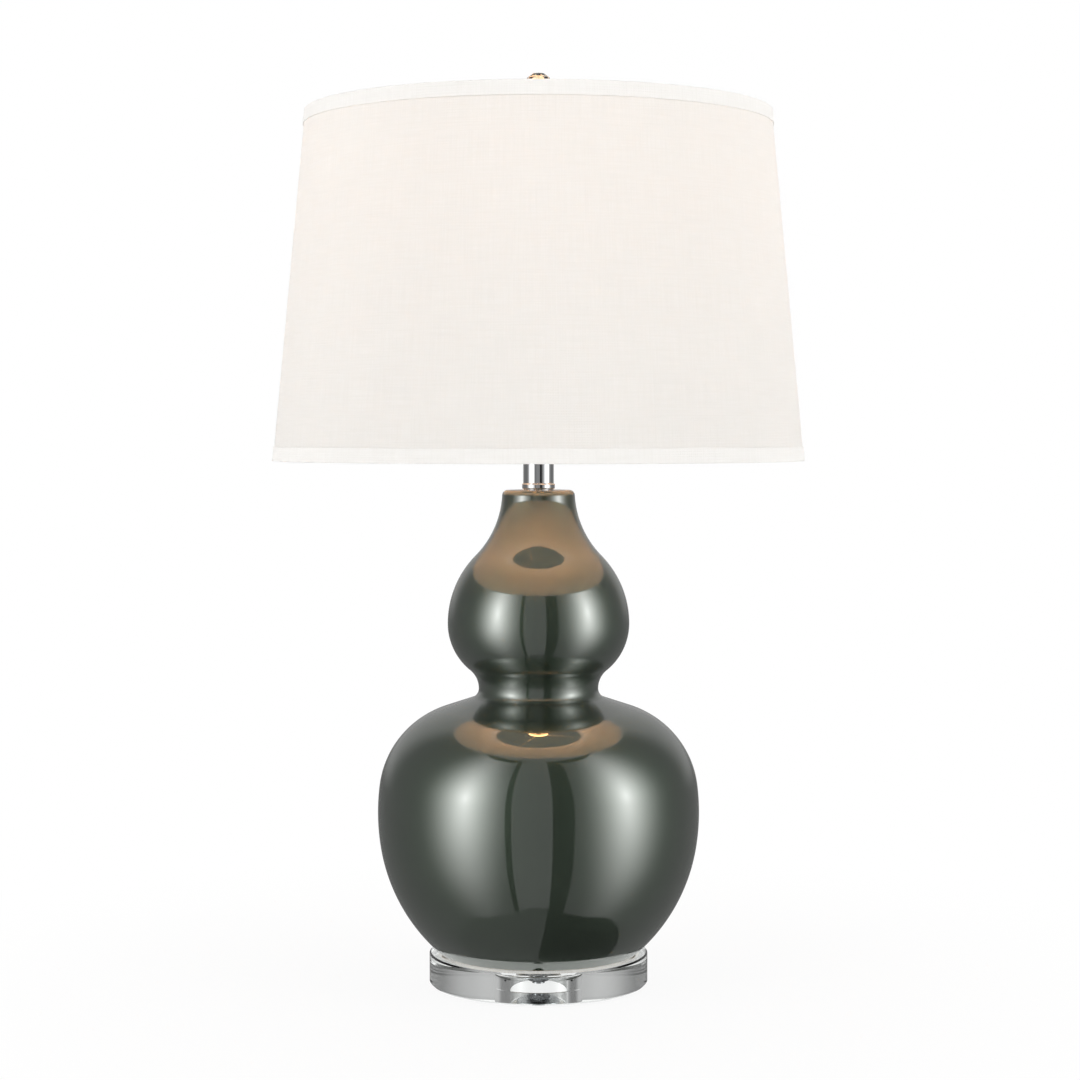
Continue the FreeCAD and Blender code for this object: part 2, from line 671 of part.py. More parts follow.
# The bushing that lines the outlet: a flange outside, a barrel through the wall and a lip that snaps
# out inside it. The lip clears the inner wall, which curves away from it.
LIP_START = "(Sizes.body_wall + 2 * Sizes.bushing_gap)"
LIP_END = f"({LIP_START} + Sizes.bushing_lip_length)"
BARREL = "Sizes.bushing_barrel_radius"
bushing = turned("cord_bushing", "0", [
    ("Sizes.bushing_bore_radius", f"-{LIP_END}"),
    (BARREL, f"-{LIP_END}"),
    (f"({BARREL} + Sizes.bushing_lip)", f"-{LIP_START}"),
    (BARREL, f"-{LIP_START}"),
    (BARREL, "0"),
    ("Sizes.bushing_flange_radius", "0"),
    ("Sizes.bushing_flange_radius", "(Sizes.bushing_flange_thickness / 2)"),
    ("(Sizes.bushing_flange_radius - Sizes.bushing_flange_thickness / 2)", "Sizes.bushing_flange_thickness"),
    ("Sizes.bushing_bore_radius", "Sizes.bushing_flange_thickness"),
])
bushing.Placement = FreeCAD.Placement(Vector(), FreeCAD.Rotation(Vector(1, 0, 0), -120))
bushing.setExpression("Placement.Base.y", outlet_out("0"))
bushing.setExpression("Placement.Base.z", f"{FOOT_LEVEL} * 1 mm + {outlet_up('0')}")
bushing.setExpression("Placement.Rotation.Angle", "-(90 + Sizes.outlet_angle)")

# The hollow threaded rod from the base nut up into the socket's cap. A slot in its back, low inside
# the body, lets the wires in from the outlet.
rod = turned("threaded_rod", ROD_BOTTOM, [
    ("Sizes.rod_bore_radius", "0"),
    ("Sizes.rod_radius", "0"),
    ("Sizes.rod_radius", f"({ROD_TOP} - {ROD_BOTTOM})"),
    ("Sizes.rod_bore_radius", f"({ROD_TOP} - {ROD_BOTTOM})"),
])
slot_bottom = f"({FOOT_LEVEL} - {ROD_BOTTOM} + 2 * {INNER_FLOOR})"
rod_slot = new_sketch(rod, "slot")
add_outline(rod_slot, [
    ("(-Sizes.cord_slot_width / 2)", slot_bottom),
    ("(Sizes.cord_slot_width / 2)", slot_bottom),
    ("(Sizes.cord_slot_width / 2)", f"({slot_bottom} + Sizes.cord_slot_height)"),
    ("(-Sizes.cord_slot_width / 2)", f"({slot_bottom} + Sizes.cord_slot_height)"),
])
pocket(rod, rod_slot, "(2 * Sizes.rod_radius)", "cord_slot")

# The neck: a washer over the body's top hole, the nut that clamps the body, and the polished tube
# over them, with a small rolled bead at its foot and a closed top that carries the harp.
washer("neck_washer", BODY_TOP, ROD_HOLE, "Sizes.neck_washer_radius", "Sizes.neck_washer_thickness")
hex_nut("neck_nut", NECK_BASE)
BEAD = "(Sizes.neck_tube_radius + Sizes.neck_bead_proud)"
TUBE_INSIDE = "(Sizes.neck_tube_radius - Sizes.neck_tube_wall)"
neck_tube = turned("neck_tube", NECK_BASE, [
    (TUBE_INSIDE, "0"),
    (BEAD, "0"),
    (BEAD, "Sizes.neck_bead_height"),
    ("Sizes.neck_tube_radius", "Sizes.neck_bead_height"),
    ("Sizes.neck_tube_radius", "Sizes.neck_tube_length"),
    (ROD_HOLE, "Sizes.neck_tube_length"),
    (ROD_HOLE, "(Sizes.neck_tube_length - Sizes.neck_tube_wall)"),
    (TUBE_INSIDE, "(Sizes.neck_tube_length - Sizes.neck_tube_wall)"),
])
dress(neck_tube, "Fillet", "(0.9 * Sizes.neck_bead_proud)", lambda edge: (
    is_circle(edge, BEAD, "Sizes.neck_bead_height") or is_circle(edge, BEAD, "0")
), "rolled_bead")

# The harp's saddle: a strip with a round middle, bent up at both ends, with narrow tips for the
# sleeves to hold.
ARM_OUTSIDE = "(Sizes.harp_leg_offset - Sizes.harp_wire_radius)"
ARM_INSIDE = f"({ARM_OUTSIDE} - Sizes.saddle_thickness)"
saddle = new_body("harp_saddle", SADDLE_BASE)
saddle_sketch = new_sketch(saddle, "bent_strip")
add_outline(saddle_sketch, [
    (f"-{ARM_OUTSIDE}", "0"),
    (ARM_OUTSIDE, "0"),
    (ARM_OUTSIDE, "Sizes.saddle_arm_height"),
    (ARM_INSIDE, "Sizes.saddle_arm_height"),
    (ARM_INSIDE, "Sizes.saddle_thickness"),
    (f"-{ARM_INSIDE}", "Sizes.saddle_thickness"),
    (f"-{ARM_INSIDE}", "Sizes.saddle_arm_height"),
    (f"-{ARM_OUTSIDE}", "Sizes.saddle_arm_height"),
])
pad(saddle, saddle_sketch, "Sizes.saddle_width", "strip", "Symmetric")
saddle_centre = new_sketch(saddle, "round_centre", "XY_Plane")
add_circle(saddle_centre, "0", "0", "Sizes.saddle_centre_radius")
pad(saddle, saddle_centre, "Sizes.saddle_thickness", "centre")


def bend_at(across, level):
    """A test for the straight edges along Y at a distance from the axis and a level."""
    def wanted(edge):
        ends = [vertex.Point for vertex in edge.Vertexes]
        if len(ends) != 2 or abs(ends[0].y - ends[1].y) < 1:
            return False
        return all(
            abs(abs(end.x) - value(across)) < 0.001 and abs(end.z - value(level)) < 0.001 for end in ends
        )
    return wanted


dress(saddle, "Fillet", "Sizes.saddle_bend", bend_at(ARM_INSIDE, "Sizes.saddle_thickness"), "inner_bends")
dress(saddle, "Fillet", "(Sizes.saddle_bend + Sizes.saddle_thickness)", bend_at(ARM_OUTSIDE, "0"),
      "outer_bends")
saddle_hole = new_sketch(saddle, "rod_hole", "XY_Plane")
add_circle(saddle_hole, "0", "0", ROD_HOLE)
pocket(saddle, saddle_hole, "(4 * Sizes.saddle_thickness)", "bore", "Symmetric")
for side, name in (("", "back"), ("-", "front")):
    tip_sketch = new_sketch(saddle, f"{name}_shoulder", "YZ_Plane")
    inner_edge = f"({side}Sizes.saddle_tip_width / 2)"
    outer_edge = f"({side}(Sizes.saddle_width / 2 + {OVERCUT}))"
    add_outline(tip_sketch, [
        (inner_edge, "Sizes.saddle_shoulder"),
        (outer_edge, "Sizes.saddle_shoulder"),
        (outer_edge, f"(Sizes.saddle_arm_height + {OVERCUT})"),
        (inner_edge, f"(Sizes.saddle_arm_height + {OVERCUT})"),
    ])
    pocket(saddle, tip_sketch, "(4 * Sizes.harp_leg_offset)", f"{name}_cut", "Symmetric")

# The harp: one wire bow, drawn as a half and mirrored. From the saddle each leg runs straight up,
# swings out in an S to its widest, and leans in to a small round crown.
HARP_WIDEST = "Sizes.harp_belly_offset"
CROWN_LEVEL = "(Sizes.harp_height - Sizes.harp_wire_radius - Sizes.boss_skin)"


def draw_bow(sketch):
    """The right half of the harp's wire, as straight runs and tangent arcs."""
    leg, widest = value("Sizes.harp_leg_offset"), value(HARP_WIDEST)
    start, straight = value("Sizes.harp_leg_start"), value("Sizes.harp_leg_straight")
    belly, crown_level = value("Sizes.harp_belly_height"), value(CROWN_LEVEL)
    crown_radius, crown_offset = value("Sizes.crown_radius"), value("Sizes.crown_offset")
    across, along = widest - leg, belly - straight
    swing = (across**2 + along**2) / (4 * across)
    low, high = (leg + swing, straight), (widest - swing, belly)
    turn = bearing(high, low)
    rise, step = crown_level - crown_radius - belly, widest - crown_offset
    lean_radius = (step**2 + rise**2 - crown_radius**2) / (2 * (step - crown_radius))
    lean = (widest - lean_radius, belly)
    crown = (crown_offset, crown_level - crown_radius)
    crown_turn = bearing(lean, crown)

    upright = add_line(sketch, (leg, start), (leg, straight))
    out = add_arc(sketch, low, swing, turn + math.pi, math.pi)
    back = add_arc(sketch, high, swing, turn, 0)
    side = add_arc(sketch, lean, lean_radius, 0, crown_turn)
    top = add_arc(sketch, crown, crown_radius, crown_turn, math.pi / 2)
    level = add_line(sketch, (crown_offset, crown_level), (0, crown_level))
    relate(sketch, "Vertical", upright)
    relate(sketch, "Tangent", upright, 2, out, 2)
    relate(sketch, "Tangent", out, 1, back, 1)
    relate(sketch, "Tangent", back, 2, side, 1)
    relate(sketch, "Tangent", side, 2, top, 1)
    relate(sketch, "Tangent", top, 2, level, 1)
    relate(sketch, "Horizontal", level)
    relate(sketch, "Horizontal", back, 3, back, 2)
    relate(sketch, "Equal", out, back)
    relate(sketch, "PointOnObject", level, 2, -2)
    dimension(sketch, "DistanceX", -1, 1, upright, 1, size="Sizes.harp_leg_offset")
    dimension(sketch, "DistanceY", -1, 1, upright, 1, size="Sizes.harp_leg_start")
    dimension(sketch, "DistanceY", -1, 1, upright, 2, size="Sizes.harp_leg_straight")
    dimension(sketch, "DistanceX", -1, 1, back, 2, size=HARP_WIDEST)
    dimension(sketch, "DistanceY", -1, 1, back, 2, size="Sizes.harp_belly_height")
    dimension(sketch, "DistanceY", -1, 1, level, 1, size=CROWN_LEVEL)
    dimension(sketch, "DistanceX", -1, 1, top, 3, size="Sizes.crown_offset")
    dimension(sketch, "Radius", top, size="Sizes.crown_radius")


def sweep(body, profile_sketch, path_sketch, name="wire"):
    """A wire swept along a path."""
    pipe = body.newObject("PartDesign::AdditivePipe", f"{body.Label}_{name}")
    pipe.Profile = profile_sketch
    pipe.Spine = (path_sketch, [])
    return pipe


harp = new_body("harp_bow", SADDLE_BASE)
harp_path = new_sketch(harp, "path")
draw_bow(harp_path)
harp_wire = new_sketch(harp, "wire_section", "XY_Plane", "Sizes.harp_leg_start")
add_circle(harp_wire, "Sizes.harp_leg_offset", "0", "Sizes.harp_wire_radius")
half_bow = sweep(harp, harp_wire, harp_path)
doc.recompute()
whole_bow = harp.newObject("PartDesign::Mirrored", "harp_bow_mirrored")
whole_bow.Originals = [half_bow]
whole_bow.MirrorPlane = (origin_plane(harp, "YZ_Plane"), [""])
harp.Tip = whole_bow
BOSS_THICKNESS = "(2 * (Sizes.harp_wire_radius + Sizes.boss_skin))"
RIVET_HOLE = "(Sizes.stud_rivet_radius + Sizes.running_gap)"
boss_sketch = new_sketch(harp, "boss_section", "XY_Plane", "Sizes.harp_height")
add_circle(boss_sketch, "0", "0", "Sizes.boss_radius")
pad(harp, boss_sketch, BOSS_THICKNESS, "boss", reverse=True)
eye_sketch = new_sketch(harp, "eye_section", "XY_Plane", "Sizes.harp_height")
add_circle(eye_sketch, "0", "0", RIVET_HOLE)
pocket(harp, eye_sketch, f"(4 * {BOSS_THICKNESS})", "eye", "Symmetric")


def make_sleeve(label, turn):
    """A sleeve round one saddle tip and one harp leg, seated on the saddle's shoulder."""
    inner = f"({ARM_INSIDE} - Sizes.sleeve_gap)"
    outer = "(Sizes.harp_leg_offset + Sizes.harp_wire_radius + Sizes.sleeve_gap)"
    half = "(Sizes.saddle_tip_width / 2 + Sizes.sleeve_gap)"
    wall = "Sizes.sleeve_wall"
    sleeve = new_body(label, f"({SADDLE_BASE} + Sizes.saddle_shoulder)")
    skin = new_sketch(sleeve, "outside", "XY_Plane")
    add_outline(skin, [
        (f"({inner} - {wall})", f"(-{half} - {wall})"),
        (f"({outer} + {wall})", f"(-{half} - {wall})"),
        (f"({outer} + {wall})", f"({half} + {wall})"),
        (f"({inner} - {wall})", f"({half} + {wall})"),
    ])
    pad(sleeve, skin, "Sizes.sleeve_length", "block")
    dress(sleeve, "Fillet", "Sizes.sleeve_round", lambda edge: (
        len(edge.Vertexes) == 2 and abs(edge.Vertexes[0].Z - edge.Vertexes[1].Z) > 1
    ), "round_corners")
    slot = new_sketch(sleeve, "inside", "XY_Plane")
    add_outline(slot, [(inner, f"(-{half})"), (outer, f"(-{half})"), (outer, half), (inner, half)])
    pocket(sleeve, slot, "(4 * Sizes.sleeve_length)", "slot", "Symmetric")
    sleeve.Placement = FreeCAD.Placement(sleeve.Placement.Base, FreeCAD.Rotation(Vector(0, 0, 1), turn))
    return sleeve


make_sleeve("harp_sleeve_right", 0)
make_sleeve("harp_sleeve_left", 180)

# The stud riveted through the crown's boss, free to turn in it. The shade stands on its flange.
STUD_GRIP = f"({BOSS_THICKNESS} + Sizes.running_gap)"
turned("harp_stud", HARP_TOP, [
    ("0", f"(-{STUD_GRIP} - Sizes.stud_head_thickness)"),
    ("Sizes.stud_head_radius", f"(-{STUD_GRIP} - Sizes.stud_head_thickness)"),
    ("Sizes.stud_head_radius", f"(-{STUD_GRIP})"),
    ("Sizes.stud_rivet_radius", f"(-{STUD_GRIP})"),
    ("Sizes.stud_rivet_radius", "0"),
    ("Sizes.stud_flange_radius", "0"),
    ("Sizes.stud_flange_radius", "Sizes.stud_flange_thickness"),
    ("Sizes.stud_radius", "Sizes.stud_flange_thickness"),
    ("Sizes.stud_radius", "(Sizes.stud_flange_thickness + Sizes.stud_length)"),
    ("0", "(Sizes.stud_flange_thickness + Sizes.stud_length)"),
])

# The socket. Its cap screws onto the rod and flares out to a skirt.
CAP_INSIDE = "(Sizes.shell_radius + Sizes.slip_gap)"
CAP_RADIUS = f"({CAP_INSIDE} + Sizes.socket_metal)"
CAP_ROOF = "(Sizes.socket_hub_height + Sizes.socket_metal)"
turned("socket_cap", SOCKET_BASE, [
    (ROD_HOLE, "0"),
    ("Sizes.socket_hub_radius", "0"),
    ("Sizes.socket_hub_radius", "Sizes.socket_hub_height"),
    (CAP_RADIUS, "Sizes.cap_flare_height"),
    (CAP_RADIUS, "Sizes.cap_height"),
    (CAP_INSIDE, "Sizes.cap_height"),
    (CAP_INSIDE, SHELL_START),
    ("Sizes.socket_hub_radius", CAP_ROOF),
    (ROD_HOLE, CAP_ROOF),
])


def windowed_sleeve(label, radius, wall):
    """A sleeve seated in the cap, with the round window in front that the switch shaft comes out of."""
    sleeve = turned(label, f"({SOCKET_BASE} + {SHELL_START})", [
        (f"({radius} - {wall})", "0"),
        (radius, "0"),
        (radius, "Sizes.shell_length"),
        (f"({radius} - {wall})", "Sizes.shell_length"),
    ])
    window = new_sketch(sleeve, "switch_window")
    add_circle(window, "0", f"(Sizes.switch_level - {SHELL_START})", "Sizes.switch_window_radius")
    pocket(sleeve, window, "(2 * Sizes.shell_radius)", "window", reverse=True)


windowed_sleeve("socket_shell", "Sizes.shell_radius", "Sizes.socket_metal")
windowed_sleeve("socket_insulator", LINER_RADIUS, "Sizes.liner_thickness")

# The moulded block that holds the switch, with flats at its sides for the terminal screws.
block = new_body("socket_block", f"({SOCKET_BASE} + {BLOCK_START})")
block_sketch = new_sketch(block, "round", "XY_Plane")
add_circle(block_sketch, "0", "0", "Sizes.block_radius")
pad(block, block_sketch, "Sizes.block_height", "blank")
for side, name in (("", "right"), ("-", "left")):
    flat_sketch = new_sketch(block, f"{name}_flat", "XY_Plane")
    flat_edge = f"({side}Sizes.block_flat)"
    far_edge = f"({side}(Sizes.block_radius + {OVERCUT}))"
    add_outline(flat_sketch, [
        (flat_edge, "(-Sizes.block_radius)"),
        (far_edge, "(-Sizes.block_radius)"),
        (far_edge, "Sizes.block_radius"),
        (flat_edge, "Sizes.block_radius"),
    ])
    pocket(block, flat_sketch, "(4 * Sizes.block_height)", f"{name}_cut", "Symmetric")
shaft_hole = new_sketch(block, "shaft_hole", "XZ_Plane", "(Sizes.switch_shaft_start - Sizes.running_gap)")
add_circle(shaft_hole, "0", f"(Sizes.switch_level - {BLOCK_START})",
           "(Sizes.switch_shaft_radius + Sizes.running_gap)")
pocket(block, shaft_hole, "Sizes.block_radius", "shaft_bore", reverse=True)
TERMINAL = f"(Sizes.terminal_level - {BLOCK_START})"
for side, name in (("", "right"), ("-", "left")):
    screw_hole = new_sketch(block, f"{name}_screw_hole", "YZ_Plane", f"({side}Sizes.block_flat)")
    add_circle(screw_hole, "0", TERMINAL, "Sizes.terminal_shank_radius")
    pocket(block, screw_hole, "(2 * Sizes.terminal_shank_length)", f"{name}_screw_bore", "Symmetric")

# The two terminal screws, their heads on the block's flats.
screws = new_body("terminal_screws", f"({SOCKET_BASE} + Sizes.terminal_level)")
head_sketch = new_sketch(screws, "head", "YZ_Plane", "Sizes.block_flat")
add_circle(head_sketch, "0", "0", "Sizes.terminal_head_radius")
screw_head = pad(screws, head_sketch, "Sizes.terminal_head_height", "heads")
shank_sketch = new_sketch(screws, "shank", "YZ_Plane", "Sizes.block_flat")
add_circle(shank_sketch, "0", "0", "Sizes.terminal_shank_radius")
screw_shank = pad(screws, shank_sketch, "Sizes.terminal_shank_length", "shanks", reverse=True)
doc.recompute()
around(screws, [screw_head, screw_shank], "2")

# The brass screw shell that takes the bulb's cap, and the contact in its floor.
turned("screw_shell", f"({SOCKET_BASE} + {BLOCK_TOP})", [
    ("Sizes.screw_shell_hole", "0"),
    ("Sizes.screw_shell_radius", "0"),
    ("Sizes.screw_shell_radius", "Sizes.screw_shell_height"),
    ("(Sizes.screw_shell_radius - Sizes.liner_thickness)", "Sizes.screw_shell_height"),
    ("(Sizes.screw_shell_radius - Sizes.liner_thickness)", "Sizes.liner_thickness"),
    ("Sizes.screw_shell_hole", "Sizes.liner_thickness"),
])
turned("centre_contact", f"({SOCKET_BASE} + {BLOCK_TOP})", [
    ("0", "0"),
    ("Sizes.contact_radius", "0"),
    ("Sizes.contact_radius", "(Sizes.contact_height / 2)"),
    ("(Sizes.contact_radius / 2)", "Sizes.contact_height"),
    ("0", "Sizes.contact_height"),
])

# The switch: a shaft out of the block's front and a fluted knob on it. Their own frames point forward.
KNOB_BORE_END = "(Sizes.knob_start + Sizes.knob_grip)"
shaft = turned("switch_shaft", f"({SOCKET_BASE} + Sizes.switch_level)", [
    ("0", "Sizes.switch_shaft_start"),
    ("Sizes.switch_shaft_radius", "Sizes.switch_shaft_start"),
    ("Sizes.switch_shaft_radius", KNOB_BORE_END),
    ("0", KNOB_BORE_END),
])
knob = turned("switch_knob", f"({SOCKET_BASE} + Sizes.switch_level)", [
    ("0", KNOB_BORE_END),
    ("Sizes.switch_shaft_radius", KNOB_BORE_END),
    ("Sizes.switch_shaft_radius", "Sizes.knob_start"),
    ("Sizes.knob_radius", "Sizes.knob_start"),
    ("Sizes.knob_tip_radius", "(Sizes.knob_start + Sizes.knob_length)"),
    ("0", "(Sizes.knob_start + Sizes.knob_length)"),
])
flute_sketch = new_sketch(knob, "flute", "XY_Plane", "Sizes.knob_start")
add_circle(flute_sketch, "Sizes.knob_radius", "0", "Sizes.knob_flute_radius")
flute = pocket(knob, flute_sketch, "(4 * Sizes.knob_length)", "flute", "Symmetric")
doc.recompute()
around(knob, [flute], "Sizes.knob_flutes", "flutes")
for piece in (shaft, knob):
    piece.Placement = FreeCAD.Placement(piece.Placement.Base, FreeCAD.Rotation(Vector(1, 0, 0), 90))

# The bulb: contact tip, cap and glass.
turned("bulb_tip", BULB_BASE, [
    ("0", "0"),
    ("(Sizes.bulb_tip_radius / 2)", "0"),
    ("Sizes.bulb_tip_radius", "(Sizes.bulb_tip_height / 2)"),
    ("Sizes.bulb_tip_radius", "Sizes.bulb_tip_height"),
    ("0", "Sizes.bulb_tip_height"),
])
CAP_BASE = f"({BULB_BASE} + Sizes.bulb_tip_height)"
turned("bulb_cap", CAP_BASE, [
    ("0", "0"),
    ("Sizes.bulb_tip_radius", "0"),
    ("Sizes.bulb_cap_radius", "(Sizes.bulb_cap_height / 4)"),
    ("Sizes.bulb_cap_radius", "Sizes.bulb_cap_height"),
    ("(Sizes.bulb_cap_radius - Sizes.bulb_cap_wall)", "Sizes.bulb_cap_height"),
    ("(Sizes.bulb_cap_radius - Sizes.bulb_cap_wall)", "(Sizes.bulb_cap_height / 4)"),
    ("Sizes.bulb_tip_radius", "Sizes.bulb_cap_wall"),
    ("0", "Sizes.bulb_cap_wall"),
])


def draw_bulb(sketch):
    """The glass: a globe, a hollow shoulder arc tangent to it and to the neck, and an even wall."""
    neck, globe = value("Sizes.bulb_neck_radius"), value("Sizes.bulb_globe_radius")
    level, hollow = value("Sizes.bulb_globe_height"), value("Sizes.bulb_shoulder_radius")
    wall = value("Sizes.bulb_glass_wall")
    centre = (0, level)
    across = neck + hollow
    shoulder = (across, level - math.sqrt((globe + hollow) ** 2 - across**2))
    turn = bearing(centre, shoulder)
    chains = []
    for inset in (0, wall):
        straight = add_line(sketch, (neck - inset, 0), (neck - inset, shoulder[1]))
        flare = add_arc(sketch, shoulder, hollow + inset, turn + math.pi, math.pi)
        ball = add_arc(sketch, centre, globe - inset, turn, math.pi / 2)
        relate(sketch, "Vertical", straight)
        relate(sketch, "Tangent", straight, 2, flare, 2)
        relate(sketch, "Tangent", flare, 1, ball, 1)
        relate(sketch, "PointOnObject", ball, 2, -2)
        relate(sketch, "PointOnObject", straight, 1, -1)
        chains.append((straight, flare, ball))
    foot = add_line(sketch, (neck - wall, 0), (neck, 0))
    crown = add_line(sketch, (0, level + globe), (0, level + globe - wall))
    (straight, flare, ball), (inner_straight, inner_flare, inner_ball) = chains
    relate(sketch, "PointOnObject", ball, 3, -2)
    relate(sketch, "Coincident", foot, 1, inner_straight, 1)
    relate(sketch, "Coincident", foot, 2, straight, 1)
    relate(sketch, "Coincident", crown, 1, ball, 2)
    relate(sketch, "Coincident", crown, 2, inner_ball, 2)
    relate(sketch, "Coincident", inner_ball, 3, ball, 3)
    relate(sketch, "Coincident", inner_flare, 3, flare, 3)
    dimension(sketch, "DistanceX", -1, 1, straight, 1, size="Sizes.bulb_neck_radius")
    dimension(sketch, "DistanceY", -1, 1, ball, 3, size="Sizes.bulb_globe_height")
    dimension(sketch, "Radius", ball, size="Sizes.bulb_globe_radius")
    dimension(sketch, "Radius", inner_ball, size="(Sizes.bulb_globe_radius - Sizes.bulb_glass_wall)")
    dimension(sketch, "Radius", flare, size="Sizes.bulb_shoulder_radius")


bulb_glass = new_body("bulb_glass", f"({CAP_BASE} + Sizes.bulb_cap_height - Sizes.bulb_neck_engage)")
bulb_section = new_sketch(bulb_glass, "section")
draw_bulb(bulb_section)
revolve(bulb_glass, bulb_section)


# The shade: fabric laminated to a styrene sheet, a truncated cone with its edges on two wire rings.
def shade_radius(drop):
    """The fabric's outer radius at a drop below its top edge."""
    return f"(Sizes.shade_top_radius + {drop} * {SHADE_SLOPE})"


def shade_skin(label, inset, thickness):
    """One layer of the shade's wall, from its bottom edge to its top edge."""
    top, bottom = "Sizes.shade_height", "0"
    turned(label, f"({SHADE_TOP} - Sizes.shade_height)", [
        (f"(Sizes.shade_bottom_radius - {inset} - {thickness})", bottom),
        (f"(Sizes.shade_bottom_radius - {inset})", bottom),
        (f"(Sizes.shade_top_radius - {inset})", top),
        (f"(Sizes.shade_top_radius - {inset} - {thickness})", top),
    ])


shade_skin("shade_fabric", "0", "Sizes.fabric_thickness")
shade_skin("shade_liner", "Sizes.fabric_thickness", "Sizes.styrene_thickness")


def shade_trim(label, level, edge_radius, inner_radius, edge, far, far_radius):
    """A folded tape outside one edge of the wall, turned in over the edge and the ring behind it."""
    turned(label, level, [
        (edge_radius, "0"),
        (inner_radius, "0"),
        (inner_radius, edge),
        (f"({edge_radius} + Sizes.trim_thickness)", edge),
        (f"({far_radius} + Sizes.trim_thickness)", far),
        (far_radius, far),
    ])


RING_REACH = f"({SHADE_WALL} + Sizes.ring_wire + Sizes.ring_gap)"
RING_INSET = f"({SHADE_WALL} + Sizes.ring_wire / 2 + Sizes.ring_gap)"
shade_trim("shade_top_trim", SHADE_TOP, "Sizes.shade_top_radius", f"(Sizes.shade_top_radius - {RING_REACH})",
           "Sizes.trim_thickness", "(-Sizes.trim_height)", shade_radius("Sizes.trim_height"))
shade_trim("shade_bottom_trim", f"({SHADE_TOP} - Sizes.shade_height)", "Sizes.shade_bottom_radius",
           f"({shade_radius('(Sizes.shade_height - Sizes.ring_wire)')} - {RING_REACH})",
           "(-Sizes.trim_thickness)", "Sizes.trim_height",
           shade_radius("(Sizes.shade_height - Sizes.trim_height)"))


def add_ring(body, radius, level):
    """A square-drawn wire ring, given its middle radius and level."""
    sketch = new_sketch(body, "ring_section")
    inner, outer = f"({radius} - Sizes.ring_wire / 2)", f"({radius} + Sizes.ring_wire / 2)"
    low, high = f"({level} - Sizes.ring_wire / 2)", f"({level} + Sizes.ring_wire / 2)"
    add_outline(sketch, [(inner, low), (outer, low), (outer, high), (inner, high)])
    revolve(body, sketch, "ring")


bottom_ring = new_body("shade_bottom_ring", f"({SHADE_TOP} - Sizes.shade_height)")
add_ring(bottom_ring, f"({shade_radius('(Sizes.shade_height - Sizes.ring_wire)')} - {RING_INSET})",
         "(Sizes.ring_wire / 2)")

# The top ring, and the fitter welded to its inside: a washer on the harp's stud and three strip arms
# that rise from it.
RING_RADIUS = f"(Sizes.shade_top_radius - {RING_INSET})"
RING_LEVEL = "(Sizes.shade_rise - Sizes.ring_wire / 2)"
top_ring = new_body("shade_top_ring", HUB_LEVEL)
add_ring(top_ring, RING_RADIUS, RING_LEVEL)
fitter = new_body("shade_fitter", HUB_LEVEL)
ARM_LEVEL = "(Sizes.arm_thickness / 2)"
ARM_START = "(Sizes.hub_washer_radius - Sizes.arm_width / 2)"
ARM_BEND_START = "Sizes.arm_level_run"
ARM_END = f"({RING_RADIUS} - Sizes.ring_wire / 2 - Sizes.weld_gap)"
hub_sketch = new_sketch(fitter, "hub", "XY_Plane")
add_circle(hub_sketch, "0", "0", "Sizes.hub_washer_radius")
pad(fitter, hub_sketch, "Sizes.hub_washer_thickness", "hub")


def draw_arm(sketch):
    """An arm's path: level out of the washer, up in an S of two equal arcs, and level to the ring."""
    start, bend = value(ARM_START), value("Sizes.arm_bend")
    low, high, end = value(ARM_LEVEL), value(RING_LEVEL), value(ARM_END)
    bend_start = value(ARM_BEND_START)
    turn = math.acos(1 - (high - low) / (2 * bend))
    bend_end = bend_start + 2 * bend * math.sin(turn)
    quarter = math.pi / 2
    inner = add_line(sketch, (start, low), (bend_start, low))
    lower = add_arc(sketch, (bend_start, low + bend), bend, -quarter, turn - quarter)
    upper = add_arc(sketch, (bend_end, high - bend), bend, quarter, quarter + turn)
    outer = add_line(sketch, (bend_end, high), (end, high))
    relate(sketch, "Horizontal", inner)
    relate(sketch, "Tangent", inner, 2, lower, 1)
    relate(sketch, "Tangent", lower, 2, upper, 2)
    relate(sketch, "Tangent", upper, 1, outer, 1)
    relate(sketch, "Horizontal", outer)
    relate(sketch, "Equal", lower, upper)
    dimension(sketch, "Radius", lower, size="Sizes.arm_bend")
    dimension(sketch, "DistanceX", -1, 1, inner, 1, size=ARM_START)
    dimension(sketch, "DistanceX", -1, 1, inner, 2, size=ARM_BEND_START)
    dimension(sketch, "DistanceY", -1, 1, inner, 1, size=ARM_LEVEL)
    dimension(sketch, "DistanceX", -1, 1, outer, 2, size=ARM_END)
    dimension(sketch, "DistanceY", -1, 1, outer, 2, size=RING_LEVEL)


arm_path = new_sketch(fitter, "arm_path")
draw_arm(arm_path)
arm_section = new_sketch(fitter, "arm_section", "YZ_Plane", ARM_START)
add_outline(arm_section, [
    ("(-Sizes.arm_width / 2)", "0"),
    ("(Sizes.arm_width / 2)", "0"),
    ("(Sizes.arm_width / 2)", "Sizes.arm_thickness"),
    ("(-Sizes.arm_width / 2)", "Sizes.arm_thickness"),
])
arm = sweep(fitter, arm_section, arm_path, "arm")
doc.recompute()
around(fitter, [arm], "Sizes.arm_count", "arms")
hub_hole = new_sketch(fitter, "hub_hole", "XY_Plane")
add_circle(hub_hole, "0", "0", "(Sizes.stud_radius + Sizes.running_gap)")
pocket(fitter, hub_hole, "(4 * Sizes.hub_washer_thickness)", "bore", "Symmetric")

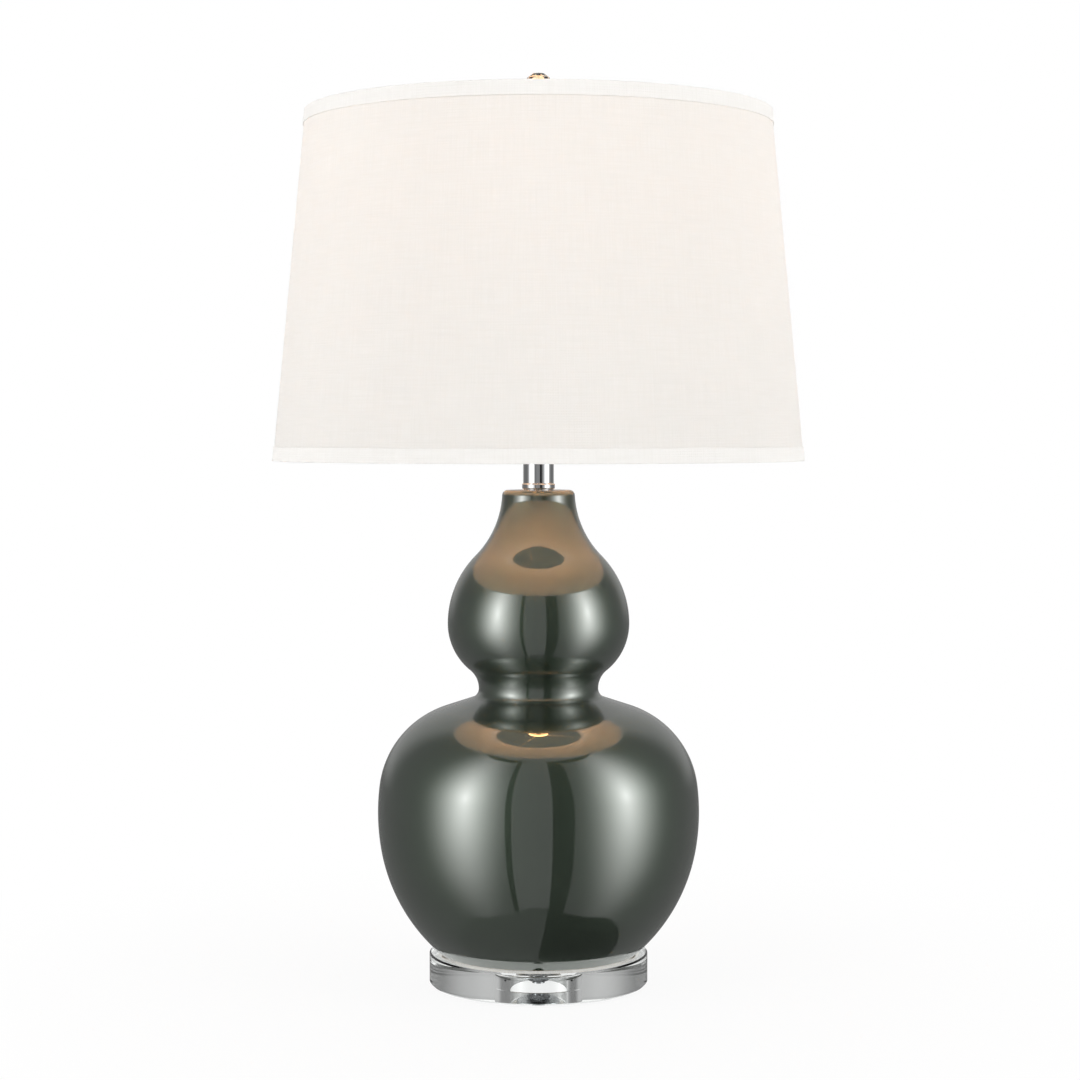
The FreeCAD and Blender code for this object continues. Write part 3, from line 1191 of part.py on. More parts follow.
# The finial's turned metal base, threaded on the stud above the washer.
turned("finial_base", FINIAL_BASE, [
    ("(Sizes.stud_radius + Sizes.running_gap)", "0"),
    ("Sizes.finial_foot_radius", "0"),
    ("Sizes.finial_foot_radius", "(Sizes.finial_base_height / 6)"),
    ("Sizes.finial_stem_radius", "(Sizes.finial_base_height / 3)"),
    ("Sizes.finial_stem_radius", "(Sizes.finial_base_height * 2 / 3)"),
    ("Sizes.finial_foot_radius", "(Sizes.finial_base_height * 5 / 6)"),
    ("Sizes.finial_foot_radius", "Sizes.finial_base_height"),
    ("0", "Sizes.finial_base_height"),
    ("0", "Sizes.finial_bore_depth"),
    ("(Sizes.stud_radius + Sizes.running_gap)", "Sizes.finial_bore_depth"),
])

# The finial's cut ball. Its corners lie on a sphere in six rings, each turned half a step from the
# next, so that the facets between rings are triangles, and the two ends are flat.
BALL_LATITUDES = [-66, -40, -14, 14, 40, 66]


def cut_ball(radius, count):
    """The ball as a solid of flat facets, standing on its lower end."""
    foot = radius * math.sin(math.radians(BALL_LATITUDES[0]))
    rings = []
    for row, latitude in enumerate(BALL_LATITUDES):
        reach = radius * math.cos(math.radians(latitude))
        level = radius * math.sin(math.radians(latitude)) - foot
        turns = [2 * math.pi * (step + row / 2) / count for step in range(count)]
        rings.append([Vector(reach * math.cos(turn), reach * math.sin(turn), level) for turn in turns])
    loops = [rings[0], rings[-1]]
    for row, (lower, upper) in enumerate(zip(rings, rings[1:])):
        for step in range(count):
            after = (step + 1) % count
            loops.append([lower[step], lower[after], upper[step]])
            loops.append([lower[after], upper[after], upper[step]])
    faces = [Part.Face(Part.makePolygon(loop + loop[:1])) for loop in loops]
    return Part.Solid(Part.makeShell(faces))


ball = doc.addObject("Part::Feature", "finial_ball")
ball.Label = "finial_ball"
ball.Shape = cut_ball(value("Sizes.ball_radius"), int(value("Sizes.ball_facets")))
ball.Placement = FreeCAD.Placement(Vector(0, 0, value(BALL_BASE)), FreeCAD.Rotation())

doc.recompute()

# Every object must have computed, every sketch be fully set, and every piece be a sound solid.
pieces = [item for item in doc.Objects if item.TypeId in ("PartDesign::Body", "Part::Feature")]
for item in doc.Objects:
    if "Invalid" in item.State or "Error" in item.State:
        raise RuntimeError(f"{item.Label} did not compute: {item.State}")
    if item.TypeId == "Sketcher::SketchObject" and not item.FullyConstrained:
        raise RuntimeError(f"{item.Label} is not fully set")
for piece in pieces:
    if piece.Shape.isNull() or not piece.Shape.isValid() or piece.Shape.Volume <= 0:
        raise RuntimeError(f"{piece.Label} is not a sound solid")

os.makedirs("parts", exist_ok=True)
for piece in pieces:
    piece.Shape.exportStep(f"parts/{piece.Label}.step")
print(f"{len(pieces)} pieces")
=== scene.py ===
import math

import bpy
import numpy as np
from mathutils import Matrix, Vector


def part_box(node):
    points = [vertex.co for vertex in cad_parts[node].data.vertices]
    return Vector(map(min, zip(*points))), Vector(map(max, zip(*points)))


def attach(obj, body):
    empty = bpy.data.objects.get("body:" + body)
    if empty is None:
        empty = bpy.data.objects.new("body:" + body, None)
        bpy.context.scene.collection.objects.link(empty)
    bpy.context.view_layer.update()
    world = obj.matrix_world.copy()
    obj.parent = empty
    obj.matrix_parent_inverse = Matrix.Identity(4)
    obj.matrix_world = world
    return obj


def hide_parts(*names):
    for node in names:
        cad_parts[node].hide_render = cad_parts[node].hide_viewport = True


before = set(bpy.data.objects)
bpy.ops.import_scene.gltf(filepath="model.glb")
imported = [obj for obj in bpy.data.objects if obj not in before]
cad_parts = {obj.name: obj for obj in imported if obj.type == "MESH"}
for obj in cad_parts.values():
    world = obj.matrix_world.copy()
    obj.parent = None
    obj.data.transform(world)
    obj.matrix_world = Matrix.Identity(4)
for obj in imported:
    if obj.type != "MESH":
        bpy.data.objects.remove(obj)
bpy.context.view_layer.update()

# Bumpers. Four clear polyurethane dots, cast with a domed edge and stuck under the disc. They are soft,
# faintly cloudy and a little tacky, so their shine is blurred.
MM = 0.001


def colour(code):
    """An sRGB hex colour as linear red, green, blue and alpha."""
    parts = np.array([int(code[i:i + 2], 16) for i in (1, 3, 5)]) / 255
    straight = np.where(parts <= 0.04045, parts / 12.92, ((parts + 0.055) / 1.055) ** 2.4)
    return (*straight, 1.0)


def add_node(material, kind, inputs=(), **settings):
    """Adds a node with its settings. An input is a plain value, an output to link, or a node, which
    stands for its first live output."""
    tree = material.node_tree
    node = tree.nodes.new(kind)
    for name, setting in settings.items():
        setattr(node, name, setting)
    for name, source in dict(inputs).items():
        if isinstance(source, bpy.types.Node):
            source = next(output for output in source.outputs if output.enabled)
        if isinstance(source, bpy.types.NodeSocket):
            tree.links.new(source, node.inputs[name])
        else:
            node.inputs[name].default_value = source
    return node


def start_material(name):
    """An empty material and its object coordinates, in metres."""
    material = bpy.data.materials.new(name)
    material.use_nodes = True
    material.node_tree.nodes.clear()
    place = add_node(material, "ShaderNodeTexCoord").outputs["Object"]
    return material, place


def end_material(material, shader):
    """Sends a shader to the material's output and returns the material."""
    add_node(material, "ShaderNodeOutputMaterial", {"Surface": shader})
    return material


def rounded(corners, step=15.0):
    """A closed outline with rounded corners, each given as (across, up, radius) in millimetres.

    The circle of that radius which touches both sides takes the corner's place. One more point on
    each side, just beyond the circle, keeps the flat beside it flat when it is shaded.
    """
    corners = np.asarray(corners, float)
    outline = []
    for last, here, following in zip(np.roll(corners, 1, 0), corners, np.roll(corners, -1, 0)):
        corner, radius = here[:2], here[2]
        if radius == 0:
            outline.append(corner[None])
            continue
        to_last, to_next = last[:2] - corner, following[:2] - corner
        to_last, to_next = to_last / np.hypot(*to_last), to_next / np.hypot(*to_next)
        half = math.acos(np.clip(to_last @ to_next, -1, 1)) / 2
        reach = radius / math.tan(half)
        middle = (to_last + to_next) / np.hypot(*(to_last + to_next))
        centre = corner + middle * radius / math.sin(half)
        first, final = corner + to_last * reach - centre, corner + to_next * reach - centre
        start = math.atan2(first[1], first[0])
        sweep = (math.atan2(final[1], final[0]) - start + math.pi) % (2 * math.pi) - math.pi
        turns = start + sweep * np.linspace(0, 1, 1 + max(2, round(abs(math.degrees(sweep)) / step)))
        bend = centre + radius * np.stack([np.cos(turns), np.sin(turns)], axis=1)
        outline += [(corner + to_last * (reach + 0.4 * radius))[None], bend,
                    (corner + to_next * (reach + 0.4 * radius))[None]]
    return np.concatenate(outline)


def join_rings(rings, count, closed=True):
    """Quads between neighbouring rings of count points. Closed, the last ring joins the first."""
    i, j = np.meshgrid(np.arange(rings if closed else rings - 1), np.arange(count), indexing="ij")
    beside, above = (j + 1) % count, (i + 1) % rings
    quads = [i * count + j, i * count + beside, above * count + beside, above * count + j]
    return np.stack(quads, -1).reshape(-1, 4).tolist()


def turn(profile, steps=128):
    """A surface turned about the lamp's axis, as points, faces and flat map.

    A profile point (r, z) becomes the ring (r cos t, r sin t, z) with t over a full turn. The profile
    runs anticlockwise round the material. It closes on itself, or starts and ends on the axis in a
    single point. The map is arc length round the widest ring by length along the profile.
    """
    profile = np.asarray(profile, float)
    poled = profile[0, 0] < 1e-9 and profile[-1, 0] < 1e-9
    rings = profile[1:-1] if poled else profile
    count = len(rings)
    t = np.linspace(0, 2 * np.pi, steps, endpoint=False)
    r, z = rings[:, :1], rings[:, 1:]
    points = np.stack([r * np.cos(t), r * np.sin(t), z + 0 * t], axis=-1).reshape(-1, 3)
    faces = join_rings(count, steps, closed=not poled)
    i, j = np.meshgrid(np.arange(count - 1 if poled else count), np.arange(steps), indexing="ij")
    length = np.concatenate([[0], np.cumsum(np.hypot(*np.diff(rings, axis=0, append=rings[:1]).T))])
    across = r.max() * 2 * np.pi / steps
    flat = np.stack([np.stack([j, j + 1, j + 1, j], -1) * across,
                     np.stack([length[i], length[i], length[i + 1], length[i + 1]], -1)], -1)
    flat = flat.reshape(-1, 2)
    if poled:
        foot, crown = len(points), len(points) + 1
        points = np.concatenate([points, [[0, 0, profile[0, 1]], [0, 0, profile[-1, 1]]]])
        ring, top = np.arange(steps), (count - 1) * steps + np.arange(steps)
        faces += np.stack([np.full(steps, foot), np.roll(ring, -1), ring], -1).tolist()
        faces += np.stack([np.full(steps, crown), top, np.roll(top, -1)], -1).tolist()
        ends = np.repeat([0.0, length[count - 1]], steps * 3)
        flat = np.concatenate([flat, np.stack([np.zeros(steps * 6), ends], -1)])
    return points, faces, flat


def new_mesh(name, points, faces, flat=None, crease=180.0):
    """A mesh in metres from points in millimetres, smooth but for edges that bend more than crease."""
    mesh = bpy.data.meshes.new(name)
    mesh.from_pydata((np.asarray(points) * MM).tolist(), [], faces)
    if flat is not None:
        layer = mesh.uv_layers.new(name="surface")
        layer.data.foreach_set("uv", (np.asarray(flat) * MM).ravel())
    mesh.polygons.foreach_set("use_smooth", np.ones(len(mesh.polygons), bool))
    if crease < 180:
        mesh.set_sharp_from_angle(angle=math.radians(crease))
    mesh.update()
    return mesh


def place(mesh, material, body, slot, *nodes):
    """The finished piece: it rides on its body in its material, and stands for the CAD nodes given, which
    it hides. slot is not used.
    """
    piece = bpy.data.objects.new(mesh.name, mesh)
    bpy.context.scene.collection.objects.link(piece)
    mesh.materials.append(material)
    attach(piece, body)
    if nodes:
        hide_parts(*nodes)
    return piece


def finish_node(material, *nodes):
    """Gives CAD nodes that keep their own mesh a better material."""
    for node in nodes:
        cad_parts[node].material_slots[0].material = material


def clear_polyurethane():
    """Clear cast polyurethane: soft, slightly cloudy, with a blurred shine."""
    material, spot = start_material("clear_polyurethane")
    cloud = add_node(material, "ShaderNodeTexNoise", {"Vector": spot, "Scale": 1 / (1.5 * MM)})
    blur = add_node(material, "ShaderNodeMapRange", {
        "Value": cloud, "From Min": 0.3, "From Max": 0.7, "To Min": 0.12, "To Max": 0.3})
    return end_material(material, add_node(material, "ShaderNodeBsdfPrincipled", {
        "Base Color": colour("#e8ebe9"), "IOR": 1.49, "Transmission Weight": 0.85, "Roughness": blur}))


BUMPER_RADIUS, BUMPER_HEIGHT, BUMPER_RING, DOME_IN, DOME_UP = 5.0, 1.5, 70.0, 0.8, 0.9
dome = rounded([(0, 0, 0), (BUMPER_RADIUS - DOME_IN, 0, 0.2), (BUMPER_RADIUS, DOME_UP, 0.5),
                (BUMPER_RADIUS, BUMPER_HEIGHT, 0), (0, BUMPER_HEIGHT, 0)])
polyurethane = clear_polyurethane()
dot_points, dot_faces, dot_flat = turn(dome, 48)
for number, (x, y) in enumerate([(1, 0), (0, 1), (-1, 0), (0, -1)]):
    moved = dot_points + np.array([x * BUMPER_RING, y * BUMPER_RING, 0])
    bumper = new_mesh(f"bumper_{number}", moved, dot_faces, dot_flat)
    place(bumper, polyurethane, "base", "clear_bumper", "base_bumpers")

# Disc. One thick round of optical crystal, ground and polished, with a narrow polished chamfer at both
# edges. A hole takes the lamp rod, and a wide recess underneath hides the nut and washers.
DISC_RADIUS, DISC_BASE, DISC_TOP = 84.2, 1.5, 25.0
RECESS_RADIUS, RECESS_TOP, ROD_HOLE, CHAMFER = 22.0, 13.5, 5.0, 1.2


def crystal(name, tint):
    """Optical crystal: IOR 1.52, clear but for a trace of polishing haze. Its shadow is pale."""
    material, spot = start_material(name)
    haze = add_node(material, "ShaderNodeTexNoise", {"Vector": spot, "Scale": 1 / (9 * MM)})
    blur = add_node(material, "ShaderNodeMapRange", {
        "Value": haze, "From Min": 0.3, "From Max": 0.7, "To Min": 0.0, "To Max": 0.012})
    glass = add_node(material, "ShaderNodeBsdfPrincipled", {
        "Base Color": colour(tint), "IOR": 1.52, "Transmission Weight": 1.0, "Roughness": blur})
    through = add_node(material, "ShaderNodeBsdfTransparent", {"Color": colour("#eef2f0")})
    ray = add_node(material, "ShaderNodeLightPath")
    return end_material(material, add_node(material, "ShaderNodeMixShader", {
        0: ray.outputs["Is Shadow Ray"], 1: glass, 2: through}))


disc_outline = rounded([
    (ROD_HOLE, RECESS_TOP, 0.3), (RECESS_RADIUS, RECESS_TOP, 0.8), (RECESS_RADIUS, DISC_BASE, 0.3),
    (DISC_RADIUS - CHAMFER, DISC_BASE, 0.12), (DISC_RADIUS, DISC_BASE + CHAMFER, 0.12),
    (DISC_RADIUS, DISC_TOP - CHAMFER, 0.12), (DISC_RADIUS - CHAMFER, DISC_TOP, 0.12),
    (ROD_HOLE, DISC_TOP, 0.3),
])
disc_crystal = crystal("polished_crystal", "#fbfdfc")
place(new_mesh("clear_disc", *turn(disc_outline, 256)), disc_crystal, "base", "crystal", "crystal_base")

# Clamp under the disc. A washer of clear soft sheet keeps the punched steel one off the crystal, and
# a hexagon nut on the threaded rod draws the stack together. The steel is zinc plated.
WASHER_RADIUS, CUSHION_THICK, WASHER_THICK, NUT_HEIGHT, NUT_WIDTH = 17.0, 1.2, 1.5, 4.0, 15.9
CUSHION_BASE = RECESS_TOP - CUSHION_THICK
WASHER_BASE = CUSHION_BASE - WASHER_THICK
NUT_BASE = WASHER_BASE - NUT_HEIGHT
ROD_RADIUS, THREAD_PITCH, THREAD_DEPTH = 4.85, 0.94, 0.12


def plated_steel(name, bright, dull, rough, grain_mm):
    """Plated metal: full metal with a thin drawn grain and patches a shade duller."""
    material, spot = start_material(name)
    patch = add_node(material, "ShaderNodeTexNoise", {
        "Vector": spot, "Scale": 1 / (6 * MM), "Detail": 3.0})
    tone = add_node(material, "ShaderNodeMix", {
        "Factor": patch, "A": colour(bright), "B": colour(dull)}, data_type="RGBA")
    fine = 1 / (grain_mm * MM)
    drawn = add_node(material, "ShaderNodeMapping", {"Vector": spot, "Scale": (fine, fine, fine / 12)})
    grain = add_node(material, "ShaderNodeTexNoise", {"Vector": drawn, "Scale": 1.0, "Detail": 3.0})
    blur = add_node(material, "ShaderNodeMapRange", {
        "Value": grain, "From Min": 0.3, "From Max": 0.7, "To Min": rough * 0.8, "To Max": rough * 1.3})
    lines = add_node(material, "ShaderNodeBump", {
        "Height": grain, "Distance": 0.01 * MM, "Strength": 0.3})
    return end_material(material, add_node(material, "ShaderNodeBsdfPrincipled", {
        "Base Color": tone, "Metallic": 1.0, "Roughness": blur, "Normal": lines}))


def hexagon_nut(base, height, width, hole, chamfer, steps=96):
    """A nut: at turn t the side lies at width / (2 cos(t - nearest flat)), and a cone cuts its corners.

    The top ring keeps to a circle just inside the flats, the bottom ring too.
    """
    t = np.linspace(0, 2 * np.pi, steps, endpoint=False)
    flat_turn = (t + np.pi / 6) % (np.pi / 3) - np.pi / 6
    side = width / 2 / np.cos(flat_turn)
    circle = np.full(steps, width / 2 * 0.98)
    drop = np.clip((side - circle) * chamfer, 0, height / 3)
    reach = [np.full(steps, hole + 0.4), circle, side, side, circle, np.full(steps, hole + 0.4),
             np.full(steps, hole), np.full(steps, hole)]
    level = [0 * t, 0 * t, 0.1 + drop, height - 0.1 - drop, 0 * t + height, 0 * t + height,
             0 * t + height - 0.4, 0 * t + 0.4]
    reach, level = np.array(reach), np.array(level) + base
    turned_by = t + np.pi / 6
    points = np.stack([reach * np.cos(turned_by), reach * np.sin(turned_by), level], -1)
    return points.reshape(-1, 3), join_rings(len(reach), steps)


def thread_ridge(radius, depth, pitch, low, high, steps=24):
    """One thread as a thin ridge wound up a rod.

    Its section is a triangle that stands depth proud of the radius, carried along the helix
    (radius cos t, radius sin t, low + pitch t / 2 pi), and shrinks to a point at both ends.
    """
    turns = (high - low) / pitch
    t = np.linspace(0, 2 * np.pi * turns, int(steps * turns) + 1)
    size = np.clip(np.minimum(t, t[-1] - t) / np.pi, 0.02, 1)[:, None]
    reach = radius + np.array([-0.02, -0.02, depth]) * size
    level = low + pitch * t[:, None] / (2 * np.pi) + np.array([0.45, -0.45, 0]) * pitch * size
    points = np.stack([reach * np.cos(t)[:, None], reach * np.sin(t)[:, None], level], -1).reshape(-1, 3)
    i, j = np.meshgrid(np.arange(len(t) - 1), np.arange(3), indexing="ij")
    faces = np.stack([i * 3 + j, (i + 1) * 3 + j, (i + 1) * 3 + (j + 1) % 3, i * 3 + (j + 1) % 3], -1)
    last = 3 * (len(t) - 1)
    return points, faces.reshape(-1, 4).tolist() + [[0, 1, 2], [last + 2, last + 1, last]]


zinc_plate = plated_steel("zinc_plated_steel", "#c9ccce", "#a9adb0", 0.26, 0.6)
for name, base, thick, skin, slot, node in (
        ("soft_washer", CUSHION_BASE, CUSHION_THICK, polyurethane, "soft_washer", "base_cushion_washer"),
        ("steel_washer", WASHER_BASE, WASHER_THICK, zinc_plate, "zinc_steel", "base_steel_washer")):
    ring = rounded([(ROD_HOLE, base, 0.2), (WASHER_RADIUS, base, 0.35),
                    (WASHER_RADIUS, base + thick, 0.35), (ROD_HOLE, base + thick, 0.2)])
    place(new_mesh(name, *turn(ring, 96)), skin, "base", slot, node)
nut = hexagon_nut(NUT_BASE, NUT_HEIGHT, NUT_WIDTH, ROD_HOLE, 1.2)
place(new_mesh("clamp_nut", *nut, crease=25), zinc_plate, "base", "zinc_steel", "base_nut")
rod_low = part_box("threaded_rod")[0].z / MM
ridge = thread_ridge(ROD_RADIUS, THREAD_DEPTH, THREAD_PITCH, rod_low + 0.6, DISC_TOP + 4)
place(new_mesh("rod_thread", *ridge, crease=20), zinc_plate, "base", "zinc_steel")
finish_node(zinc_plate, "threaded_rod", "neck_washer", "neck_nut")

# Bedding ring. A thin clear ring between the body's foot and the disc, die cut from soft sheet.
RING_INNER, RING_OUTER = 64.0, 73.0
ring_low, ring_high = (corner.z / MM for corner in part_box("foot_gasket"))
gasket = rounded([(RING_INNER, ring_low, 0.1), (RING_OUTER, ring_low, 0.1),
                  (RING_OUTER, ring_high, 0.1), (RING_INNER, ring_high, 0.1)])
bedding_ring = new_mesh("bedding_ring", *turn(gasket, 192))
place(bedding_ring, polyurethane, "base", "clear_gasket", "foot_gasket")

# Body. A slip cast double gourd, hollow, with a wall of about 5.5 mm. Outside it wears a grey-green
# glaze with a metallic lustre under a hard clear gloss. The foot is wiped bare so that it can stand
# in the kiln. The outline is a chain of arcs that touch.
FOOT_LEVEL, BODY_HOLE, BODY_WALL = 25.7, 6.5, 5.5
FOOT_INNER, FOOT_RECESS, BODY_FLOOR, LID_BOTTOM, LID_TOP = 59.0, 3.0, 8.5, 347.4, 355.4
SIDE_DROP, SIDE_RISE, FLOOR_EDGE = 28.0, 21.2, 70.0
HEEL, SIDE, SHOULDER = (-13.320, 102.471, 136.594), (-42.8, 107.5, 166.5), (51.043, 119.547, 71.886)
WAIST_FILLET, WAIST_HOLLOW = (53.981, 202.815, 8.0), (64.655, 202.815, 18.674)
LOWER_BULGE = (23.907, 252.9, 45.893)
UPPER_BULGE, FLARE = (-4.674, 252.9, 74.474), (99.4, 355.4, 71.6)
FOOT_ROUND, RIM_ROUND = (76.241, 2.0, 2.0), (23.906, 351.4, 4.0)


def arc(circle, start, end, wall=0.0, step=1.9):
    """Points on a circle (across, up, radius) less a wall, about step mm apart, from one angle in
    degrees to another."""
    across, up, radius = circle
    count = max(3, int(abs(math.radians(end - start)) * (radius - wall) / step))
    angles = np.radians(np.linspace(start, end, count, endpoint=False))
    return np.stack([across + (radius - wall) * np.cos(angles), up + (radius - wall) * np.sin(angles)], 1)


def aim(first, second):
    """The direction in degrees from one circle's centre to another's."""
    return math.degrees(math.atan2(second[1] - first[1], second[0] - first[0]))


def gourd_outline():
    """The body's closed half section: up the outside, and down the wall inside.

    Neighbouring circles touch on the line through their centres, so each arc runs between the
    directions of its neighbours' centres. Only the shoulder runs straight into the waist's fillet,
    along the line that touches both circles. The inner wall keeps those centres with radii less, or
    for the hollow arcs more, by the wall.
    """
    heel_foot, side_low = aim(HEEL, FOOT_ROUND), math.degrees(math.asin(-SIDE_DROP / SIDE[2]))
    side_high = math.degrees(math.asin(SIDE_RISE / SIDE[2]))
    apart = math.hypot(WAIST_FILLET[0] - SHOULDER[0], WAIST_FILLET[1] - SHOULDER[1])
    slope = math.degrees(math.acos((SHOULDER[2] + WAIST_FILLET[2]) / apart))
    to_waist, from_waist = aim(SHOULDER, WAIST_FILLET) - slope, aim(LOWER_BULGE, WAIST_HOLLOW)
    to_flare, rim_turn = aim(UPPER_BULGE, FLARE), aim(RIM_ROUND, FLARE)
    outside = [
        arc(FOOT_ROUND, -90, heel_foot, step=0.4), arc(HEEL, heel_foot, side_low),
        arc(SIDE, side_low, side_high), arc(SHOULDER, side_high, to_waist),
        arc(WAIST_FILLET, to_waist + 180, 180, step=0.5),
        arc(WAIST_HOLLOW, 180, from_waist + 180, step=0.8), arc(LOWER_BULGE, from_waist, 0),
        arc(UPPER_BULGE, 0, to_flare), arc(FLARE, to_flare + 180, rim_turn + 180),
        arc(RIM_ROUND, rim_turn, 90, step=0.4), [(RIM_ROUND[0], LID_TOP), (RIM_ROUND[0] - 1, LID_TOP)],
        [(BODY_HOLE + 1, LID_TOP), (BODY_HOLE, LID_TOP - 0.6)],
        [(BODY_HOLE, LID_BOTTOM + 0.6), (BODY_HOLE + 1, LID_BOTTOM)],
    ]
    inner_top = 180 + math.degrees(math.asin((FLARE[1] - LID_BOTTOM) / (FLARE[2] + BODY_WALL)))
    inner_foot = math.degrees(math.asin((BODY_FLOOR - HEEL[1]) / (HEEL[2] - BODY_WALL)))
    inside = [
        arc(FLARE, inner_top, to_flare + 180, -BODY_WALL, 4), arc(UPPER_BULGE, to_flare, 0, BODY_WALL, 4),
        arc(LOWER_BULGE, 0, from_waist, BODY_WALL, 4),
        arc(WAIST_HOLLOW, from_waist + 180, 180, -BODY_WALL, 2),
        arc(WAIST_FILLET, 180, to_waist + 180, -BODY_WALL, 2),
        arc(SHOULDER, to_waist, side_high, BODY_WALL, 4), arc(SIDE, side_high, side_low, BODY_WALL, 4),
        arc(HEEL, side_low, inner_foot, BODY_WALL, 4),
        [(FLOOR_EDGE, BODY_FLOOR), (BODY_HOLE, BODY_FLOOR), (BODY_HOLE, FOOT_RECESS)],
        [(FOOT_INNER - 0.5, FOOT_RECESS), (FOOT_INNER, FOOT_RECESS - 0.5), (FOOT_INNER, 0.3)],
        [(FOOT_INNER + 0.3, 0)],
    ]
    return np.concatenate(outside + inside) + np.array([0, FOOT_LEVEL])


def pearl_glaze():
    """Lustre glaze: flaky metal oxides in a grey-green glass give a broad soft shine, and the fired
    gloss over them mirrors the room sharply. Its IOR stands high, at 2.4, for the oxides in it."""
    material, spot = start_material("lustre_glaze")
    pooling = add_node(material, "ShaderNodeTexNoise", {
        "Vector": spot, "Scale": 1 / (60 * MM), "Detail": 3.0})
    tone = add_node(material, "ShaderNodeMix", {
        "Factor": pooling, "A": colour("#465345"), "B": colour("#4e5b4d")}, data_type="RGBA")
    fleck = add_node(material, "ShaderNodeTexNoise", {"Vector": spot, "Scale": 1 / (0.7 * MM)})
    blur = add_node(material, "ShaderNodeMapRange", {
        "Value": fleck, "From Min": 0.3, "From Max": 0.7, "To Min": 0.34, "To Max": 0.4})
    ripple = add_node(material, "ShaderNodeTexNoise", {
        "Vector": spot, "Scale": 1 / (14 * MM), "Detail": 1.0})
    skin = add_node(material, "ShaderNodeBump", {"Height": ripple, "Distance": 0.01 * MM})
    return end_material(material, add_node(material, "ShaderNodeBsdfPrincipled", {
        "Base Color": tone, "Metallic": 0.85, "Roughness": blur, "IOR": 1.5, "Coat Weight": 1.0,
        "Coat Roughness": 0.02, "Coat IOR": 2.4, "Coat Normal": skin}))


def bare_stoneware():
    """Unglazed fired clay: pale buff, dry and slightly sandy."""
    material, spot = start_material("bare_stoneware")
    sand = add_node(material, "ShaderNodeTexNoise", {
        "Vector": spot, "Scale": 1 / (0.8 * MM), "Detail": 4.0})
    tone = add_node(material, "ShaderNodeMix", {
        "Factor": sand, "A": colour("#b9a78c"), "B": colour("#cabca4")}, data_type="RGBA")
    grit = add_node(material, "ShaderNodeBump", {"Height": sand, "Distance": 0.08 * MM})
    return end_material(material, add_node(material, "ShaderNodeBsdfPrincipled", {
        "Base Color": tone, "Roughness": 0.85, "Normal": grit}))


OUTLET, OUTLET_SLOPE = np.array([0, 104.974, 59.874]), math.radians(30)
OUTLET_AXIS = np.array([0, math.cos(OUTLET_SLOPE), -math.sin(OUTLET_SLOPE)])


def set_at_outlet(points):
    """Carries points from the upright axis to the cord outlet's, which slopes down and back."""
    side = np.array([1.0, 0, 0])
    up = np.cross(OUTLET_AXIS, side)
    return OUTLET + points @ np.stack([side, up, OUTLET_AXIS])


gourd_mesh = new_mesh("gourd_body", *turn(gourd_outline(), 256))
DRILL_RADIUS, DRILL_LOW, DRILL_HIGH = 5.6, -9.0, 6.0
drill_side = [(DRILL_RADIUS, DRILL_LOW), (DRILL_RADIUS, DRILL_HIGH)]
drill_points, drill_faces = turn([(0, DRILL_LOW), *drill_side, (0, DRILL_HIGH)], 64)[:2]
drill_mesh = new_mesh("outlet_drill", set_at_outlet(drill_points), drill_faces)
drill = bpy.data.objects.new("outlet_drill", drill_mesh)
blank = bpy.data.objects.new("gourd_blank", gourd_mesh)
for item in (drill, blank):
    bpy.context.scene.collection.objects.link(item)
cut = blank.modifiers.new("outlet", "BOOLEAN")
cut.object = drill
cut.solver = "EXACT"
depsgraph = bpy.context.evaluated_depsgraph_get()
gourd_mesh = bpy.data.meshes.new_from_object(blank.evaluated_get(depsgraph))
gourd_mesh.name = "gourd"
bpy.data.objects.remove(blank)
bpy.data.objects.remove(drill)
glaze = pearl_glaze()
place(gourd_mesh, glaze, "base", "glaze", "ceramic_body")
gourd_mesh.materials.append(bare_stoneware())
centres = np.zeros(len(gourd_mesh.polygons) * 3)
gourd_mesh.polygons.foreach_get("center", centres)
centres = centres.reshape(-1, 3) / MM
reach = np.hypot(centres[:, 0], centres[:, 1])
under_foot, in_foot = centres[:, 2] < FOOT_LEVEL + 0.4, centres[:, 2] < FOOT_LEVEL + BODY_FLOOR + 0.5
bare = under_foot | (in_foot & (reach < FLOOR_EDGE))
gourd_mesh.polygons.foreach_set("material_index", bare.astype(np.int32))

# Outlet bushing. A black moulded bush snaps into the hole low in the back, where the cord would come
# out. Its flange has a rounded edge, and the lip inside holds it.
BUSH_BORE, BUSH_NECK, BUSH_LIP, BUSH_FLANGE = 3.65, 5.4, 6.2, 9.0
BUSH_END, LIP_BACK, FLANGE_FACE = -7.9, -5.9, 2.0


def moulded_plastic(name, code, paler, rough):
    """Moulded plastic with a fine spark-eroded texture."""
    material, spot = start_material(name)
    grain = add_node(material, "ShaderNodeTexNoise", {"Vector": spot, "Scale": 1 / (0.35 * MM)})
    tone = add_node(material, "ShaderNodeMix", {
        "Factor": grain, "A": colour(code), "B": colour(paler)}, data_type="RGBA")
    blur = add_node(material, "ShaderNodeMapRange", {
        "Value": grain, "From Min": 0.3, "From Max": 0.7,
        "To Min": rough * 0.85, "To Max": rough * 1.15})
    pits = add_node(material, "ShaderNodeBump", {"Height": grain, "Distance": 0.015 * MM})
    return end_material(material, add_node(material, "ShaderNodeBsdfPrincipled", {
        "Base Color": tone, "IOR": 1.53, "Roughness": blur, "Normal": pits}))


